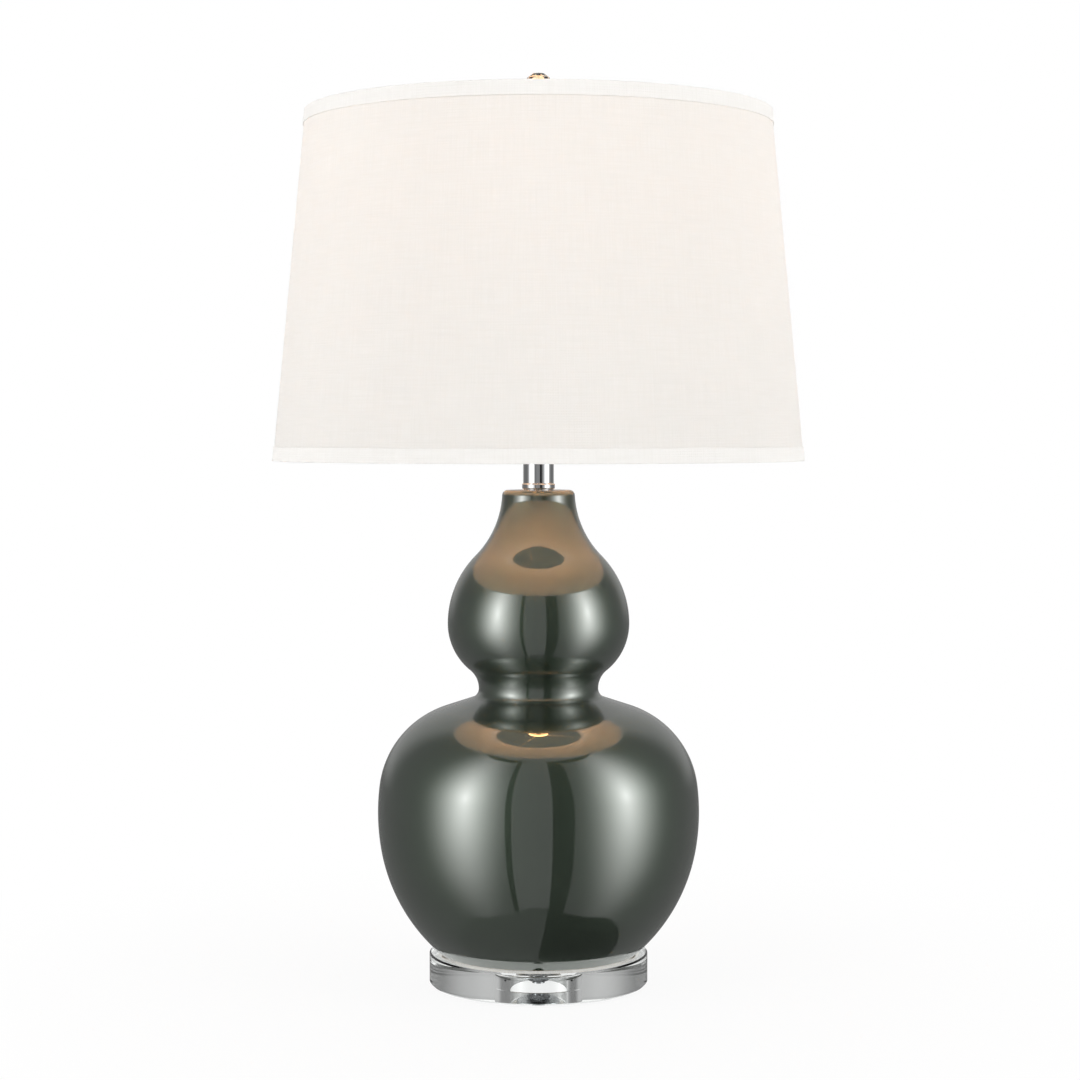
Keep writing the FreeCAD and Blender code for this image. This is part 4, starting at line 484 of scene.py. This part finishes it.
bush_outline = rounded([
    (BUSH_BORE, BUSH_END, 0.2), (BUSH_NECK, BUSH_END, 0.3), (BUSH_LIP, LIP_BACK, 0.2),
    (BUSH_NECK, LIP_BACK, 0.1), (BUSH_NECK, 0, 0.1), (BUSH_FLANGE, 0, 0.2),
    (BUSH_FLANGE, FLANGE_FACE, 0.9), (BUSH_BORE, FLANGE_FACE, 0.7),
])
black_plastic = moulded_plastic("black_nylon", "#121212", "#1d1d1d", 0.42)
bush_points, bush_faces, bush_flat = turn(bush_outline, 64)
bush = new_mesh("outlet_bush", set_at_outlet(bush_points), bush_faces, bush_flat)
place(bush, black_plastic, "base", "black_plastic", "cord_bushing")

# Neck tube. Drawn steel tube with a bead rolled at its foot, polished and chrome plated to a mirror.
# It hides the nut that clamps the body, and carries the harp's saddle.


def chrome():
    """Decorative chrome on polished steel: a cold mirror with faint polishing lines."""
    material, spot = start_material("bright_chrome")
    drawn = add_node(material, "ShaderNodeMapping", {"Vector": spot, "Scale": (2000, 2000, 100)})
    lines = add_node(material, "ShaderNodeTexNoise", {"Vector": drawn, "Scale": 1.0})
    tone = add_node(material, "ShaderNodeMix", {
        "Factor": lines, "A": colour("#dcdee0"), "B": colour("#e6e7e8")}, data_type="RGBA")
    blur = add_node(material, "ShaderNodeMapRange", {
        "Value": lines, "From Min": 0.3, "From Max": 0.7, "To Min": 0.02, "To Max": 0.05})
    return end_material(material, add_node(material, "ShaderNodeBsdfPrincipled", {
        "Base Color": tone, "Metallic": 1.0, "Roughness": blur}))


NECK_BASE, NECK_TOP, NECK_RADIUS, NECK_WALL = 382.1, 437.1, 11.7, 1.0
BEAD_RADIUS, BEAD_TOP = 12.55, NECK_BASE + 4.1
neck_outline = rounded([
    (NECK_RADIUS - NECK_WALL, NECK_BASE, 0.2), (BEAD_RADIUS, NECK_BASE, 0.75),
    (BEAD_RADIUS, BEAD_TOP, 0.75), (NECK_RADIUS, BEAD_TOP, 0.3), (NECK_RADIUS, NECK_TOP, 0.8),
    (ROD_HOLE, NECK_TOP, 0.1), (ROD_HOLE, NECK_TOP - NECK_WALL, 0.1),
    (NECK_RADIUS - NECK_WALL, NECK_TOP - NECK_WALL, 0.2),
])
neck = new_mesh("polished_neck", *turn(neck_outline, 96))
place(neck, chrome(), "base", "polished_chrome", "neck_tube")

# Harp. A bent strip saddle, a spring wire bow and two drawn sleeves that lock its legs, all bright
# nickel plated. The stud riveted in its crown turns, and takes the shade and the finial.
nickel = plated_steel("bright_nickel", "#d6d0c5", "#c8c1b4", 0.14, 0.8)
finish_node(nickel, "harp_saddle", "harp_bow", "harp_sleeve_right", "harp_sleeve_left", "harp_stud")
STUD_RADIUS, STUD_THREAD = 3.02, 11.5
stud_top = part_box("harp_stud")[1].z / MM
stud_ridge = thread_ridge(STUD_RADIUS, 0.13, THREAD_PITCH, stud_top - STUD_THREAD, stud_top - 0.4)
place(new_mesh("stud_thread", *stud_ridge, crease=20), nickel, "shade", "nickel")

# Socket. Cap and shell are drawn brass, nickel plated, with ridges rolled in to stiffen them. A brown
# fibre sleeve lines the shell. The moulded block holds the switch and two brass terminal screws.
SOCKET_BASE, CAP_RADIUS, CAP_NECK, CAP_WALL = 438.7, 16.75, 7.5, 0.6
CAP_STEM, CAP_SHOULDER, CAP_TOP = SOCKET_BASE + 7, SOCKET_BASE + 16, SOCKET_BASE + 24


def fibre():
    """Vulcanised fibre paper: brown, with pressed fibres lying every way."""
    material, spot = start_material("fibre_paper")
    strands = add_node(material, "ShaderNodeTexNoise", {
        "Vector": spot, "Scale": 1 / (0.6 * MM), "Detail": 5.0})
    tone = add_node(material, "ShaderNodeMix", {
        "Factor": strands, "A": colour("#7a5c3a"), "B": colour("#94754d")}, data_type="RGBA")
    felt = add_node(material, "ShaderNodeBump", {"Height": strands, "Distance": 0.05 * MM})
    return end_material(material, add_node(material, "ShaderNodeBsdfPrincipled", {
        "Base Color": tone, "Roughness": 0.7, "Normal": felt}))


cap_outline = rounded([
    (ROD_HOLE, SOCKET_BASE, 0.2), (CAP_NECK, SOCKET_BASE, 0.5), (CAP_NECK, CAP_STEM, 2.0),
    (CAP_RADIUS, CAP_SHOULDER, 2.5), (CAP_RADIUS, CAP_TOP, 0.25), (CAP_RADIUS - CAP_WALL, CAP_TOP, 0.2),
    (CAP_RADIUS - CAP_WALL, CAP_SHOULDER + CAP_WALL, 1.5), (CAP_NECK, CAP_STEM + CAP_WALL, 1.0),
    (ROD_HOLE, CAP_STEM + CAP_WALL, 0.2),
])
place(new_mesh("cap_cup", *turn(cap_outline, 96)), nickel, "base", "nickel", "socket_cap")
finish_node(nickel, "socket_shell")
finish_node(fibre(), "socket_insulator")
finish_node(black_plastic, "socket_block", "switch_knob")
brass = plated_steel("bare_brass", "#cfa85a", "#b58d45", 0.24, 0.7)
finish_node(brass, "terminal_screws", "screw_shell", "centre_contact", "switch_shaft")

# Bulb. A pear of glass coated white inside, alight, in a plated cap with a rolled screw. A black glass
# ring parts the cap from the soldered tip.
GLOBE, BULB_NECK, BULB_LIP, BULB_GLASS = (0.0, 575.7, 30.0), 12.5, 499.7, 0.8
BULB_GLOW, BULB_DIM, GLOW_FROM, GLOW_TO = 41.0, 7.0, GLOBE[1] - 25, GLOBE[1] + 10


def lit_glass():
    """Soft white bulb glass, alight at about 2900 K, brightest round the filament's height."""
    material, spot = start_material("frosted_bulb_glass")
    powder = add_node(material, "ShaderNodeTexNoise", {"Vector": spot, "Scale": 1 / (1.2 * MM)})
    blur = add_node(material, "ShaderNodeMapRange", {
        "Value": powder, "From Min": 0.3, "From Max": 0.7, "To Min": 0.35, "To Max": 0.45})
    level = add_node(material, "ShaderNodeSeparateXYZ", {"Vector": spot})
    glow = add_node(material, "ShaderNodeMapRange", {
        "Value": level.outputs["Z"], "From Min": GLOW_FROM * MM, "From Max": GLOW_TO * MM,
        "To Min": BULB_DIM, "To Max": BULB_GLOW}, interpolation_type="SMOOTHSTEP")
    return end_material(material, add_node(material, "ShaderNodeBsdfPrincipled", {
        "Base Color": colour("#f4efe6"), "IOR": 1.5, "Roughness": blur,
        "Emission Color": colour("#ffb570"), "Emission Strength": glow}))


def solder_tin():
    """Dull tin solder with a rippled skin."""
    material, spot = start_material("tin_solder")
    ripple = add_node(material, "ShaderNodeTexNoise", {
        "Vector": spot, "Scale": 1 / (1.2 * MM), "Detail": 3.0})
    tone = add_node(material, "ShaderNodeMix", {
        "Factor": ripple, "A": colour("#a5a6a8"), "B": colour("#8b8c8f")}, data_type="RGBA")
    skin = add_node(material, "ShaderNodeBump", {"Height": ripple, "Distance": 0.1 * MM})
    return end_material(material, add_node(material, "ShaderNodeBsdfPrincipled", {
        "Base Color": tone, "Metallic": 1.0, "Roughness": 0.5, "Normal": skin}))


def bulb_outline():
    """The glass, in one closed outline: neck, hollow shoulder, globe, and the same inside."""
    flare_radius = 60.0
    across = BULB_NECK + flare_radius
    up = GLOBE[1] - math.sqrt((GLOBE[2] + flare_radius)**2 - across**2)
    flare, turned_by = (across, up, flare_radius), aim(GLOBE, (across, up))
    outside = [[(BULB_NECK, BULB_LIP)], arc(flare, 180, turned_by + 180),
               arc(GLOBE, turned_by, 89), [(0.02, GLOBE[1] + GLOBE[2])]]
    inside = [[(0.02, GLOBE[1] + GLOBE[2] - BULB_GLASS)], arc(GLOBE, 89, turned_by, BULB_GLASS),
              arc(flare, turned_by + 180, 180, -BULB_GLASS), [(BULB_NECK - BULB_GLASS, BULB_LIP)]]
    return np.concatenate(outside + inside)


envelope = new_mesh("bulb_envelope", *turn(bulb_outline(), 96))
place(envelope, lit_glass(), "bulb", "frosted_glass", "bulb_glass")
finish_node(nickel, "bulb_cap")
finish_node(solder_tin(), "bulb_tip")

# Shade wires. The bottom ring, the top ring, and the fitter welded inside it are steel wire and strip
# in white enamel. The rings are round wire.
WIRE_RADIUS = 1.5


def white_enamel():
    """Stoved white enamel on wire: glossy, thin on the edges."""
    material, spot = start_material("white_enamel")
    skin = add_node(material, "ShaderNodeTexNoise", {"Vector": spot, "Scale": 1 / (5 * MM)})
    tone = add_node(material, "ShaderNodeMix", {
        "Factor": skin, "A": colour("#e9e7e1"), "B": colour("#f0eeea")}, data_type="RGBA")
    waves = add_node(material, "ShaderNodeBump", {"Height": skin, "Distance": 0.05 * MM})
    return end_material(material, add_node(material, "ShaderNodeBsdfPrincipled", {
        "Base Color": tone, "IOR": 1.5, "Roughness": 0.33, "Normal": waves}))


enamel = white_enamel()
for name, node in (("bottom_wire", "shade_bottom_ring"), ("top_wire", "shade_top_ring")):
    low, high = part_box(node)
    middle, radius = (low.z + high.z) / 2 / MM, high.x / MM - WIRE_RADIUS
    turns = np.linspace(0, 2 * np.pi, 16, endpoint=False)
    section = np.stack([radius + WIRE_RADIUS * np.cos(turns), middle + WIRE_RADIUS * np.sin(turns)], 1)
    place(new_mesh(name, *turn(section, 192)), enamel, "shade", "white_enamel", node)
finish_node(enamel, "shade_fitter")

# Shade. Plain white linen laminated to a translucent styrene sheet, rolled into a cone and lapped at
# the back. The bulb shines through, warmest in the middle.
SHADE_LOW, SHADE_HIGH, SHADE_WIDE, SHADE_NARROW = 404.5, 667.9, 202.4, 177.2
THREAD_SPACING, SHEET_THICK, LAP_WIDTH, LAP_PROUD, LAP_SUNK = 0.9, 0.5, 12.0, 0.35, 0.1
TAPE_DEPTH, TAPE_THICK = 10.0, 0.8


def linen(name, light, dark, see_through):
    """White linen: matt threads with slubs, and light from behind comes through softly.

    Warp and weft ribs take turns on top, square by square, as in any plain weave. The real threads
    are about 0.5 mm apart, and are drawn at THREAD_SPACING to show at all.
    """
    material, spot = start_material(name)
    flat = add_node(material, "ShaderNodeUVMap", uv_map="surface")
    apart = 1 / (THREAD_SPACING * MM)
    ribbing = {"Vector": flat, "Scale": apart * math.pi / 20, "Distortion": 0.6, "Detail": 1.0}
    warp = add_node(material, "ShaderNodeTexWave", ribbing, bands_direction="X")
    weft = add_node(material, "ShaderNodeTexWave", ribbing, bands_direction="Y")
    squares = add_node(material, "ShaderNodeTexChecker", {"Vector": flat, "Scale": apart})
    weave = add_node(material, "ShaderNodeMix", {
        "Factor": squares.outputs["Fac"], "A": warp.outputs["Fac"], "B": weft.outputs["Fac"]})
    upright = add_node(material, "ShaderNodeMapping", {"Vector": flat, "Scale": (900, 30, 1)})
    level = add_node(material, "ShaderNodeMapping", {"Vector": flat, "Scale": (30, 900, 1)})
    thick_warp = add_node(material, "ShaderNodeTexNoise", {
        "Vector": upright, "Scale": 1.0, "Detail": 3.0})
    thick_weft = add_node(material, "ShaderNodeTexNoise", {
        "Vector": level, "Scale": 1.0, "Detail": 3.0})
    slubs = add_node(material, "ShaderNodeMath", {0: thick_warp, 1: thick_weft}, operation="MULTIPLY")
    height = add_node(material, "ShaderNodeMath", {
        0: weave, 1: 0.4, 2: slubs}, operation="MULTIPLY_ADD")
    thread = add_node(material, "ShaderNodeMapRange", {
        "Value": slubs, "From Min": 0.1, "From Max": 0.45})
    tone = add_node(material, "ShaderNodeMix", {
        "Factor": thread, "A": colour(dark), "B": colour(light)}, data_type="RGBA")
    ribs = add_node(material, "ShaderNodeBump", {
        "Height": height, "Distance": 0.25 * MM, "Strength": 0.5})
    cloth = add_node(material, "ShaderNodeBsdfPrincipled", {
        "Base Color": tone, "Roughness": 0.9, "IOR": 1.45, "Sheen Weight": 0.15, "Normal": ribs})
    glow = add_node(material, "ShaderNodeBsdfTranslucent", {"Color": tone, "Normal": ribs})
    return end_material(material, add_node(material, "ShaderNodeMixShader", {
        0: see_through, 1: cloth, 2: glow}))


def styrene():
    """Milky styrene sheet: satin white inside, passes part of the light."""
    material, spot = start_material("milky_styrene")
    skin = add_node(material, "ShaderNodeTexNoise", {"Vector": spot, "Scale": 1 / (30 * MM)})
    tone = add_node(material, "ShaderNodeMix", {
        "Factor": skin, "A": colour("#f3efe8"), "B": colour("#f7f4ee")}, data_type="RGBA")
    face = add_node(material, "ShaderNodeBsdfPrincipled", {
        "Base Color": tone, "IOR": 1.55, "Roughness": 0.45})
    glow = add_node(material, "ShaderNodeBsdfTranslucent", {"Color": tone})
    return end_material(material, add_node(material, "ShaderNodeMixShader", {
        0: 0.14, 1: face, 2: glow}))


def glue_line():
    """The clear glue that joins linen and styrene, which hides nothing."""
    material = start_material("clear_laminate_glue")[0]
    return end_material(material, add_node(material, "ShaderNodeBsdfTransparent", {
        "Color": colour("#ffffff")}))


def cone_sheet(inset, thick, rows=40):
    """One layer of the shade's wall, as a closed outline: up its outside and down its inside."""
    height = np.linspace(0, 1, rows)[:, None]
    low = np.array([SHADE_WIDE - inset, SHADE_LOW])
    high = np.array([SHADE_NARROW - inset, SHADE_HIGH])
    outer = low + (high - low) * height
    return np.concatenate([outer, outer[::-1] - np.array([thick, 0])])


def glue_one_side(mesh, glue, glued_outside):
    """Gives the glued side of a layer the glue's material. A face's side shows in its normal."""
    mesh.materials.append(glue)
    count = len(mesh.polygons)
    normals, middles = np.zeros(count * 3), np.zeros(count * 3)
    mesh.polygons.foreach_get("normal", normals)
    mesh.polygons.foreach_get("center", middles)
    outward = (normals.reshape(-1, 3)[:, :2] * middles.reshape(-1, 3)[:, :2]).sum(1)
    glued = outward > 0.05 if glued_outside else outward < -0.05
    mesh.polygons.foreach_set("material_index", glued.astype(np.int32))


def lap_strip(rows=24):
    """The cover's glued lap at the back: a strip of the cone that stands a little proud of it.

    At height h the cone has radius r(h), and a point across from the middle line by s lies at the turn
    90 degrees + s / r(h). The loop round the strip runs along its outside and back under the cover.
    """
    height = np.linspace(SHADE_LOW + TAPE_DEPTH, SHADE_HIGH - TAPE_DEPTH, rows)[:, None]
    radius = SHADE_WIDE + (SHADE_NARROW - SHADE_WIDE) * (height - SHADE_LOW) / (SHADE_HIGH - SHADE_LOW)
    across = np.array([-1, -0.97, -0.5, 0, 0.5, 0.97, 1, 0.5, 0, -0.5])[None] * LAP_WIDTH / 2
    outside = np.array([0, 1, 1, 1, 1, 1, 0, 0, 0, 0])[None]
    reach = radius + np.where(outside, LAP_PROUD, -LAP_SUNK)
    t = np.pi / 2 + across / radius
    points = np.stack([reach * np.cos(t), reach * np.sin(t), height + 0 * t], -1).reshape(-1, 3)
    count = across.shape[1]
    along = height - SHADE_LOW - TAPE_DEPTH + 0 * across
    spots = np.stack([np.tile(across, (rows, 1)), along], -1).reshape(-1, 2)
    ends = [list(range(count))[::-1], list(range(count * (rows - 1), count * rows))]
    faces = join_rings(rows, count, closed=False) + ends
    return points, faces, spots[np.concatenate(faces)]


glue = glue_line()
cloth = linen("white_linen", "#f9f7f4", "#f4f2ee", 0.25)
fabric_mesh = new_mesh("linen_cover", *turn(cone_sheet(0, SHEET_THICK), 256), crease=40)
place(fabric_mesh, cloth, "shade", "white_linen", "shade_fabric")
glue_one_side(fabric_mesh, glue, False)
place(new_mesh("cover_lap", *lap_strip(), crease=40), cloth, "shade", "white_linen")
liner_mesh = new_mesh("styrene_sheet", *turn(cone_sheet(SHEET_THICK, SHEET_THICK), 256), crease=40)
place(liner_mesh, styrene(), "shade", "white_styrene", "shade_liner")
glue_one_side(liner_mesh, glue, True)

# Edge tapes. Linen tape folded over both edges of the shade and over the wires, glued down outside
# and turned in behind.
tape_linen = linen("linen_tape", "#f8f6f3", "#f3f1ed", 0.12)
taper = TAPE_DEPTH * (SHADE_WIDE - SHADE_NARROW) / (SHADE_HIGH - SHADE_LOW)
low_edge, high_edge = SHADE_LOW + TAPE_DEPTH, SHADE_HIGH - TAPE_DEPTH
low_in, high_in = 198.0, 173.0
bottom_tape = rounded([
    (SHADE_WIDE, SHADE_LOW, 0), (low_in, SHADE_LOW, 0), (low_in, SHADE_LOW - TAPE_THICK, 0.3),
    (SHADE_WIDE + TAPE_THICK, SHADE_LOW - TAPE_THICK, 0.5),
    (SHADE_WIDE - taper + TAPE_THICK, low_edge, 0.3), (SHADE_WIDE - taper, low_edge, 0),
])
top_tape = rounded([
    (SHADE_NARROW, SHADE_HIGH, 0), (SHADE_NARROW + taper, high_edge, 0),
    (SHADE_NARROW + taper + TAPE_THICK, high_edge, 0.3),
    (SHADE_NARROW + TAPE_THICK, SHADE_HIGH + TAPE_THICK, 0.5), (high_in, SHADE_HIGH + TAPE_THICK, 0.3),
    (high_in, SHADE_HIGH, 0),
])
for name, outline, node in (("bottom_tape", bottom_tape, "shade_bottom_trim"),
                            ("top_tape", top_tape, "shade_top_trim")):
    place(new_mesh(name, *turn(outline, 256), crease=50), tape_linen, "shade", "white_linen", node)

# Finial. A turned and nickel plated base threaded on the stud, and a ball of cut crystal glued in it.
# The ball's corners lie on a sphere in six rings, so its facets are triangles and two flat ends.
BALL_RADIUS, BALL_SIDES, BALL_LATITUDES = 11.0, 10, np.radians([-66, -40, -14, 14, 40, 66])


def cut_ball(base):
    """The faceted ball: ring k lies at its latitude, turned k half steps, so facets are triangles."""
    k = np.arange(len(BALL_LATITUDES))[:, None]
    turns = 2 * np.pi * (np.arange(BALL_SIDES) + k / 2) / BALL_SIDES
    reach = BALL_RADIUS * np.cos(BALL_LATITUDES)[:, None]
    level = BALL_RADIUS * (np.sin(BALL_LATITUDES) - math.sin(BALL_LATITUDES[0]))[:, None] + base
    points = np.stack([reach * np.cos(turns), reach * np.sin(turns), level + 0 * turns], -1)
    points = points.reshape(-1, 3)
    i, j = np.meshgrid(np.arange(len(k) - 1), np.arange(BALL_SIDES), indexing="ij")
    a, b = i * BALL_SIDES + j, i * BALL_SIDES + (j + 1) % BALL_SIDES
    lower = np.stack([a, b, a + BALL_SIDES], -1).reshape(-1, 3)
    upper = np.stack([b, b + BALL_SIDES, a + BALL_SIDES], -1).reshape(-1, 3)
    ends = [list(range(BALL_SIDES))[::-1], list(range(len(points) - BALL_SIDES, len(points)))]
    return points, lower.tolist() + upper.tolist() + ends


finish_node(nickel, "finial_base")
ball = new_mesh("cut_ball", *cut_ball(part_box("finial_ball")[0].z / MM), crease=5)
ball.polygons.foreach_set("use_smooth", np.zeros(len(ball.polygons), bool))
place(ball, crystal("cut_crystal", "#fbfaf4"), "finial", "crystal", "finial_ball")

# Studio. A pale floor in a white surround, and two tall soft screens to the left and right of the
# camera, each brightest in its middle. They are part of the surround, set by direction, so the glaze
# mirrors them as a wide studio would show. Between them is a dim strip, and the rest is dim or dark.
FILL, SOFTEN, STRAY = 1.52, 1.06, 0.03
SCREEN_FOOT, SCREEN_TOP, SCREEN_DIP, ALL_ROUND = -52.0, 62.0, 3.6, 400.0
SCREEN_REACH, SCREEN_SQUEEZE, HALF_FLOOR = 48.0, 0.5, 8.0
STRIP_LIGHT, BACKDROP_LIGHT, GROUND_LIGHT, CEILING_LIGHT = 0.24, 0.25, 0.12, 0.25


def between(world, angle, start, end, soft):
    """A mask that is 1 between two angles in degrees, with smooth edges that are soft degrees wide."""
    edges = []
    for edge, low, high in ((start, 0.0, 1.0), (end, 1.0, 0.0)):
        edges.append(add_node(world, "ShaderNodeMapRange", {
            "Value": angle, "From Min": math.radians(edge - soft / 2),
            "From Max": math.radians(edge + soft / 2), "To Min": low, "To Max": high},
            interpolation_type="SMOOTHSTEP"))
    return add_node(world, "ShaderNodeMath", {0: edges[0], 1: edges[1]}, operation="MULTIPLY")


def soft_screen(world, bearing, height, edges, hot_bearing, hot_height, brightest, dimmest):
    """One screen's brightness in a direction: dimmest + brightest * (1 - distance / reach) cubed.

    The distance from the hot middle counts heights at half, so the glow stands tall. Edges are the
    bearings of the screen's sides.
    """
    tall = add_node(world, "ShaderNodeMath", {0: height, 1: SCREEN_SQUEEZE}, operation="MULTIPLY")
    here = add_node(world, "ShaderNodeCombineXYZ", {"X": bearing, "Y": tall})
    middle = (math.radians(hot_bearing), math.radians(hot_height) * SCREEN_SQUEEZE, 0)
    off = add_node(world, "ShaderNodeVectorMath", {0: here, 1: middle}, operation="DISTANCE")
    near = add_node(world, "ShaderNodeMapRange", {
        "Value": off.outputs["Value"], "From Max": math.radians(SCREEN_REACH), "To Min": 1.0,
        "To Max": 0.0})
    cubed = add_node(world, "ShaderNodeMath", {0: near, 1: 3.0}, operation="POWER")
    glow = add_node(world, "ShaderNodeMath", {
        0: cubed, 1: brightest, 2: dimmest}, operation="MULTIPLY_ADD")
    inside = between(world, bearing, *edges, 1.0)
    return add_node(world, "ShaderNodeMath", {0: glow, 1: inside}, operation="MULTIPLY")


def studio_world():
    """The surround. It is plain white to the eye, and the studio as gloss, glass and cloth see it.

    Of the direction (x, y, z) looked in, bearing = atan2(x, -y), from the camera's side to the
    camera's right, and height = asin(z). Beside the camera the screens hang lower by SCREEN_DIP.
    Matt surfaces also see FILL, a band of light round the horizon but for the camera's side.
    """
    world = bpy.data.worlds.new("studio")
    bpy.context.scene.world = world
    world.use_nodes = True
    world.node_tree.nodes.clear()
    world.cycles.sampling_method = "NONE"
    look = add_node(world, "ShaderNodeSeparateXYZ", {
        "Vector": add_node(world, "ShaderNodeTexCoord").outputs["Generated"]})
    ahead = add_node(world, "ShaderNodeMath", {0: look.outputs["Y"], 1: -1.0}, operation="MULTIPLY")
    bearing = add_node(world, "ShaderNodeMath", {0: look.outputs["X"], 1: ahead}, operation="ARCTAN2")
    height = add_node(world, "ShaderNodeMath", {0: look.outputs["Z"]}, operation="ARCSINE")
    turned = add_node(world, "ShaderNodeMath", {0: bearing}, operation="ABSOLUTE")
    left = soft_screen(world, bearing, height, (-ALL_ROUND, -23.5), hot_bearing=-54, hot_height=12,
                       brightest=4.4, dimmest=0.15)
    right = soft_screen(world, bearing, height, (25.5, ALL_ROUND), hot_bearing=66, hot_height=12,
                        brightest=4.3, dimmest=0.15)
    upright = add_node(world, "ShaderNodeMath", {0: left, 1: right})
    strip = between(world, bearing, -19, 10, 1.0)
    upright = add_node(world, "ShaderNodeMath", {
        0: strip, 1: STRIP_LIGHT, 2: upright}, operation="MULTIPLY_ADD")
    behind, risen = between(world, turned, 138, ALL_ROUND, 26), between(world, height, 0, 80, 10)
    backdrop = add_node(world, "ShaderNodeMath", {0: behind, 1: risen}, operation="MULTIPLY")
    upright = add_node(world, "ShaderNodeMath", {
        0: backdrop, 1: BACKDROP_LIGHT, 2: upright}, operation="MULTIPLY_ADD")
    lower = add_node(world, "ShaderNodeMath", {
        0: between(world, turned, 21, 66, 34), 1: math.radians(SCREEN_DIP), 2: height},
        operation="MULTIPLY_ADD")
    framed = add_node(world, "ShaderNodeMath", {
        0: upright, 1: between(world, lower, SCREEN_FOOT, SCREEN_TOP, 2.0)}, operation="MULTIPLY")
    under = between(world, lower, -ALL_ROUND, SCREEN_FOOT, 2.0)
    leftward = between(world, bearing, -ALL_ROUND, 9, 2.0)
    ground = add_node(world, "ShaderNodeMath", {0: under, 1: leftward}, operation="MULTIPLY")
    framed = add_node(world, "ShaderNodeMath", {
        0: ground, 1: GROUND_LIGHT, 2: framed}, operation="MULTIPLY_ADD")
    ceiling = between(world, height, SCREEN_TOP, ALL_ROUND, 2.0)
    framed = add_node(world, "ShaderNodeMath", {
        0: ceiling, 1: CEILING_LIGHT, 2: framed}, operation="MULTIPLY_ADD")
    level, aside = between(world, height, -25, 25, 20), between(world, turned, 12, ALL_ROUND, 20)
    around = add_node(world, "ShaderNodeMath", {0: level, 1: aside}, operation="MULTIPLY")
    ray = add_node(world, "ShaderNodeLightPath")
    gain = add_node(world, "ShaderNodeMapRange", {
        "Value": ray.outputs["Is Diffuse Ray"], "To Min": 1.0, "To Max": SOFTEN})
    fill = add_node(world, "ShaderNodeMath", {
        0: ray.outputs["Is Diffuse Ray"], 1: FILL}, operation="MULTIPLY")
    soft = add_node(world, "ShaderNodeMath", {0: around, 1: fill, 2: STRAY}, operation="MULTIPLY_ADD")
    seen = add_node(world, "ShaderNodeMath", {0: framed, 1: gain, 2: soft}, operation="MULTIPLY_ADD")
    strength = add_node(world, "ShaderNodeMix", {
        "Factor": ray.outputs["Is Camera Ray"], "A": seen, "B": 1.0})
    light = add_node(world, "ShaderNodeBackground", {"Color": colour("#ffffff"), "Strength": strength})
    add_node(world, "ShaderNodeOutputWorld", {"Surface": light})


def pale_floor():
    """Floor: matt white. To the eye it is mostly the surround's white, with a faint part of the real
    shadow, and it fades into the surround away from the lamp."""
    material, spot = start_material("pale_floor")
    apart = add_node(material, "ShaderNodeVectorMath", {0: spot}, operation="LENGTH")
    fade = add_node(material, "ShaderNodeMapRange", {
        "Value": apart.outputs["Value"], "From Min": 0.1, "From Max": 0.6,
        "To Min": 0.92, "To Max": 1.0}, interpolation_type="SMOOTHSTEP")
    matt = add_node(material, "ShaderNodeBsdfPrincipled", {
        "Base Color": colour("#fbfbfb"), "Roughness": 0.8, "Specular IOR Level": 0.2})
    white = add_node(material, "ShaderNodeEmission", {"Color": colour("#ffffff"), "Strength": 1.0})
    ray = add_node(material, "ShaderNodeLightPath")
    looked = add_node(material, "ShaderNodeMath", {
        0: ray.outputs["Is Camera Ray"], 1: ray.outputs["Is Transmission Ray"]}, operation="MAXIMUM")
    part = add_node(material, "ShaderNodeMath", {0: fade, 1: looked}, operation="MULTIPLY")
    return end_material(material, add_node(material, "ShaderNodeMixShader", {
        0: part, 1: matt, 2: white}))


studio_world()
floor_mesh = bpy.data.meshes.new("floor")
corners = [(x * HALF_FLOOR, y * HALF_FLOOR, 0) for x, y in ((-1, -1), (1, -1), (1, 1), (-1, 1))]
floor_mesh.from_pydata(corners, [], [(0, 1, 2, 3)])
floor_mesh.materials.append(pale_floor())
floor = bpy.data.objects.new("floor", floor_mesh)
bpy.context.scene.collection.objects.link(floor)
floor.visible_glossy = False

# Camera. A long lens at the photograph's place, a little above the lamp's middle and tipped slightly
# down.
TIPPED = math.radians(2.586)
camera_data = bpy.data.cameras.new("camera")
camera_data.lens, camera_data.sensor_width = 80.28, 36.0
camera = bpy.data.objects.new("camera", camera_data)
camera.location = (0.00115, -1.8486, 0.4262)
camera.rotation_euler = (math.radians(90) - TIPPED, 0, 0)
bpy.context.scene.collection.objects.link(camera)
bpy.context.scene.camera = camera
bpy.context.scene.view_settings.view_transform = "Standard"
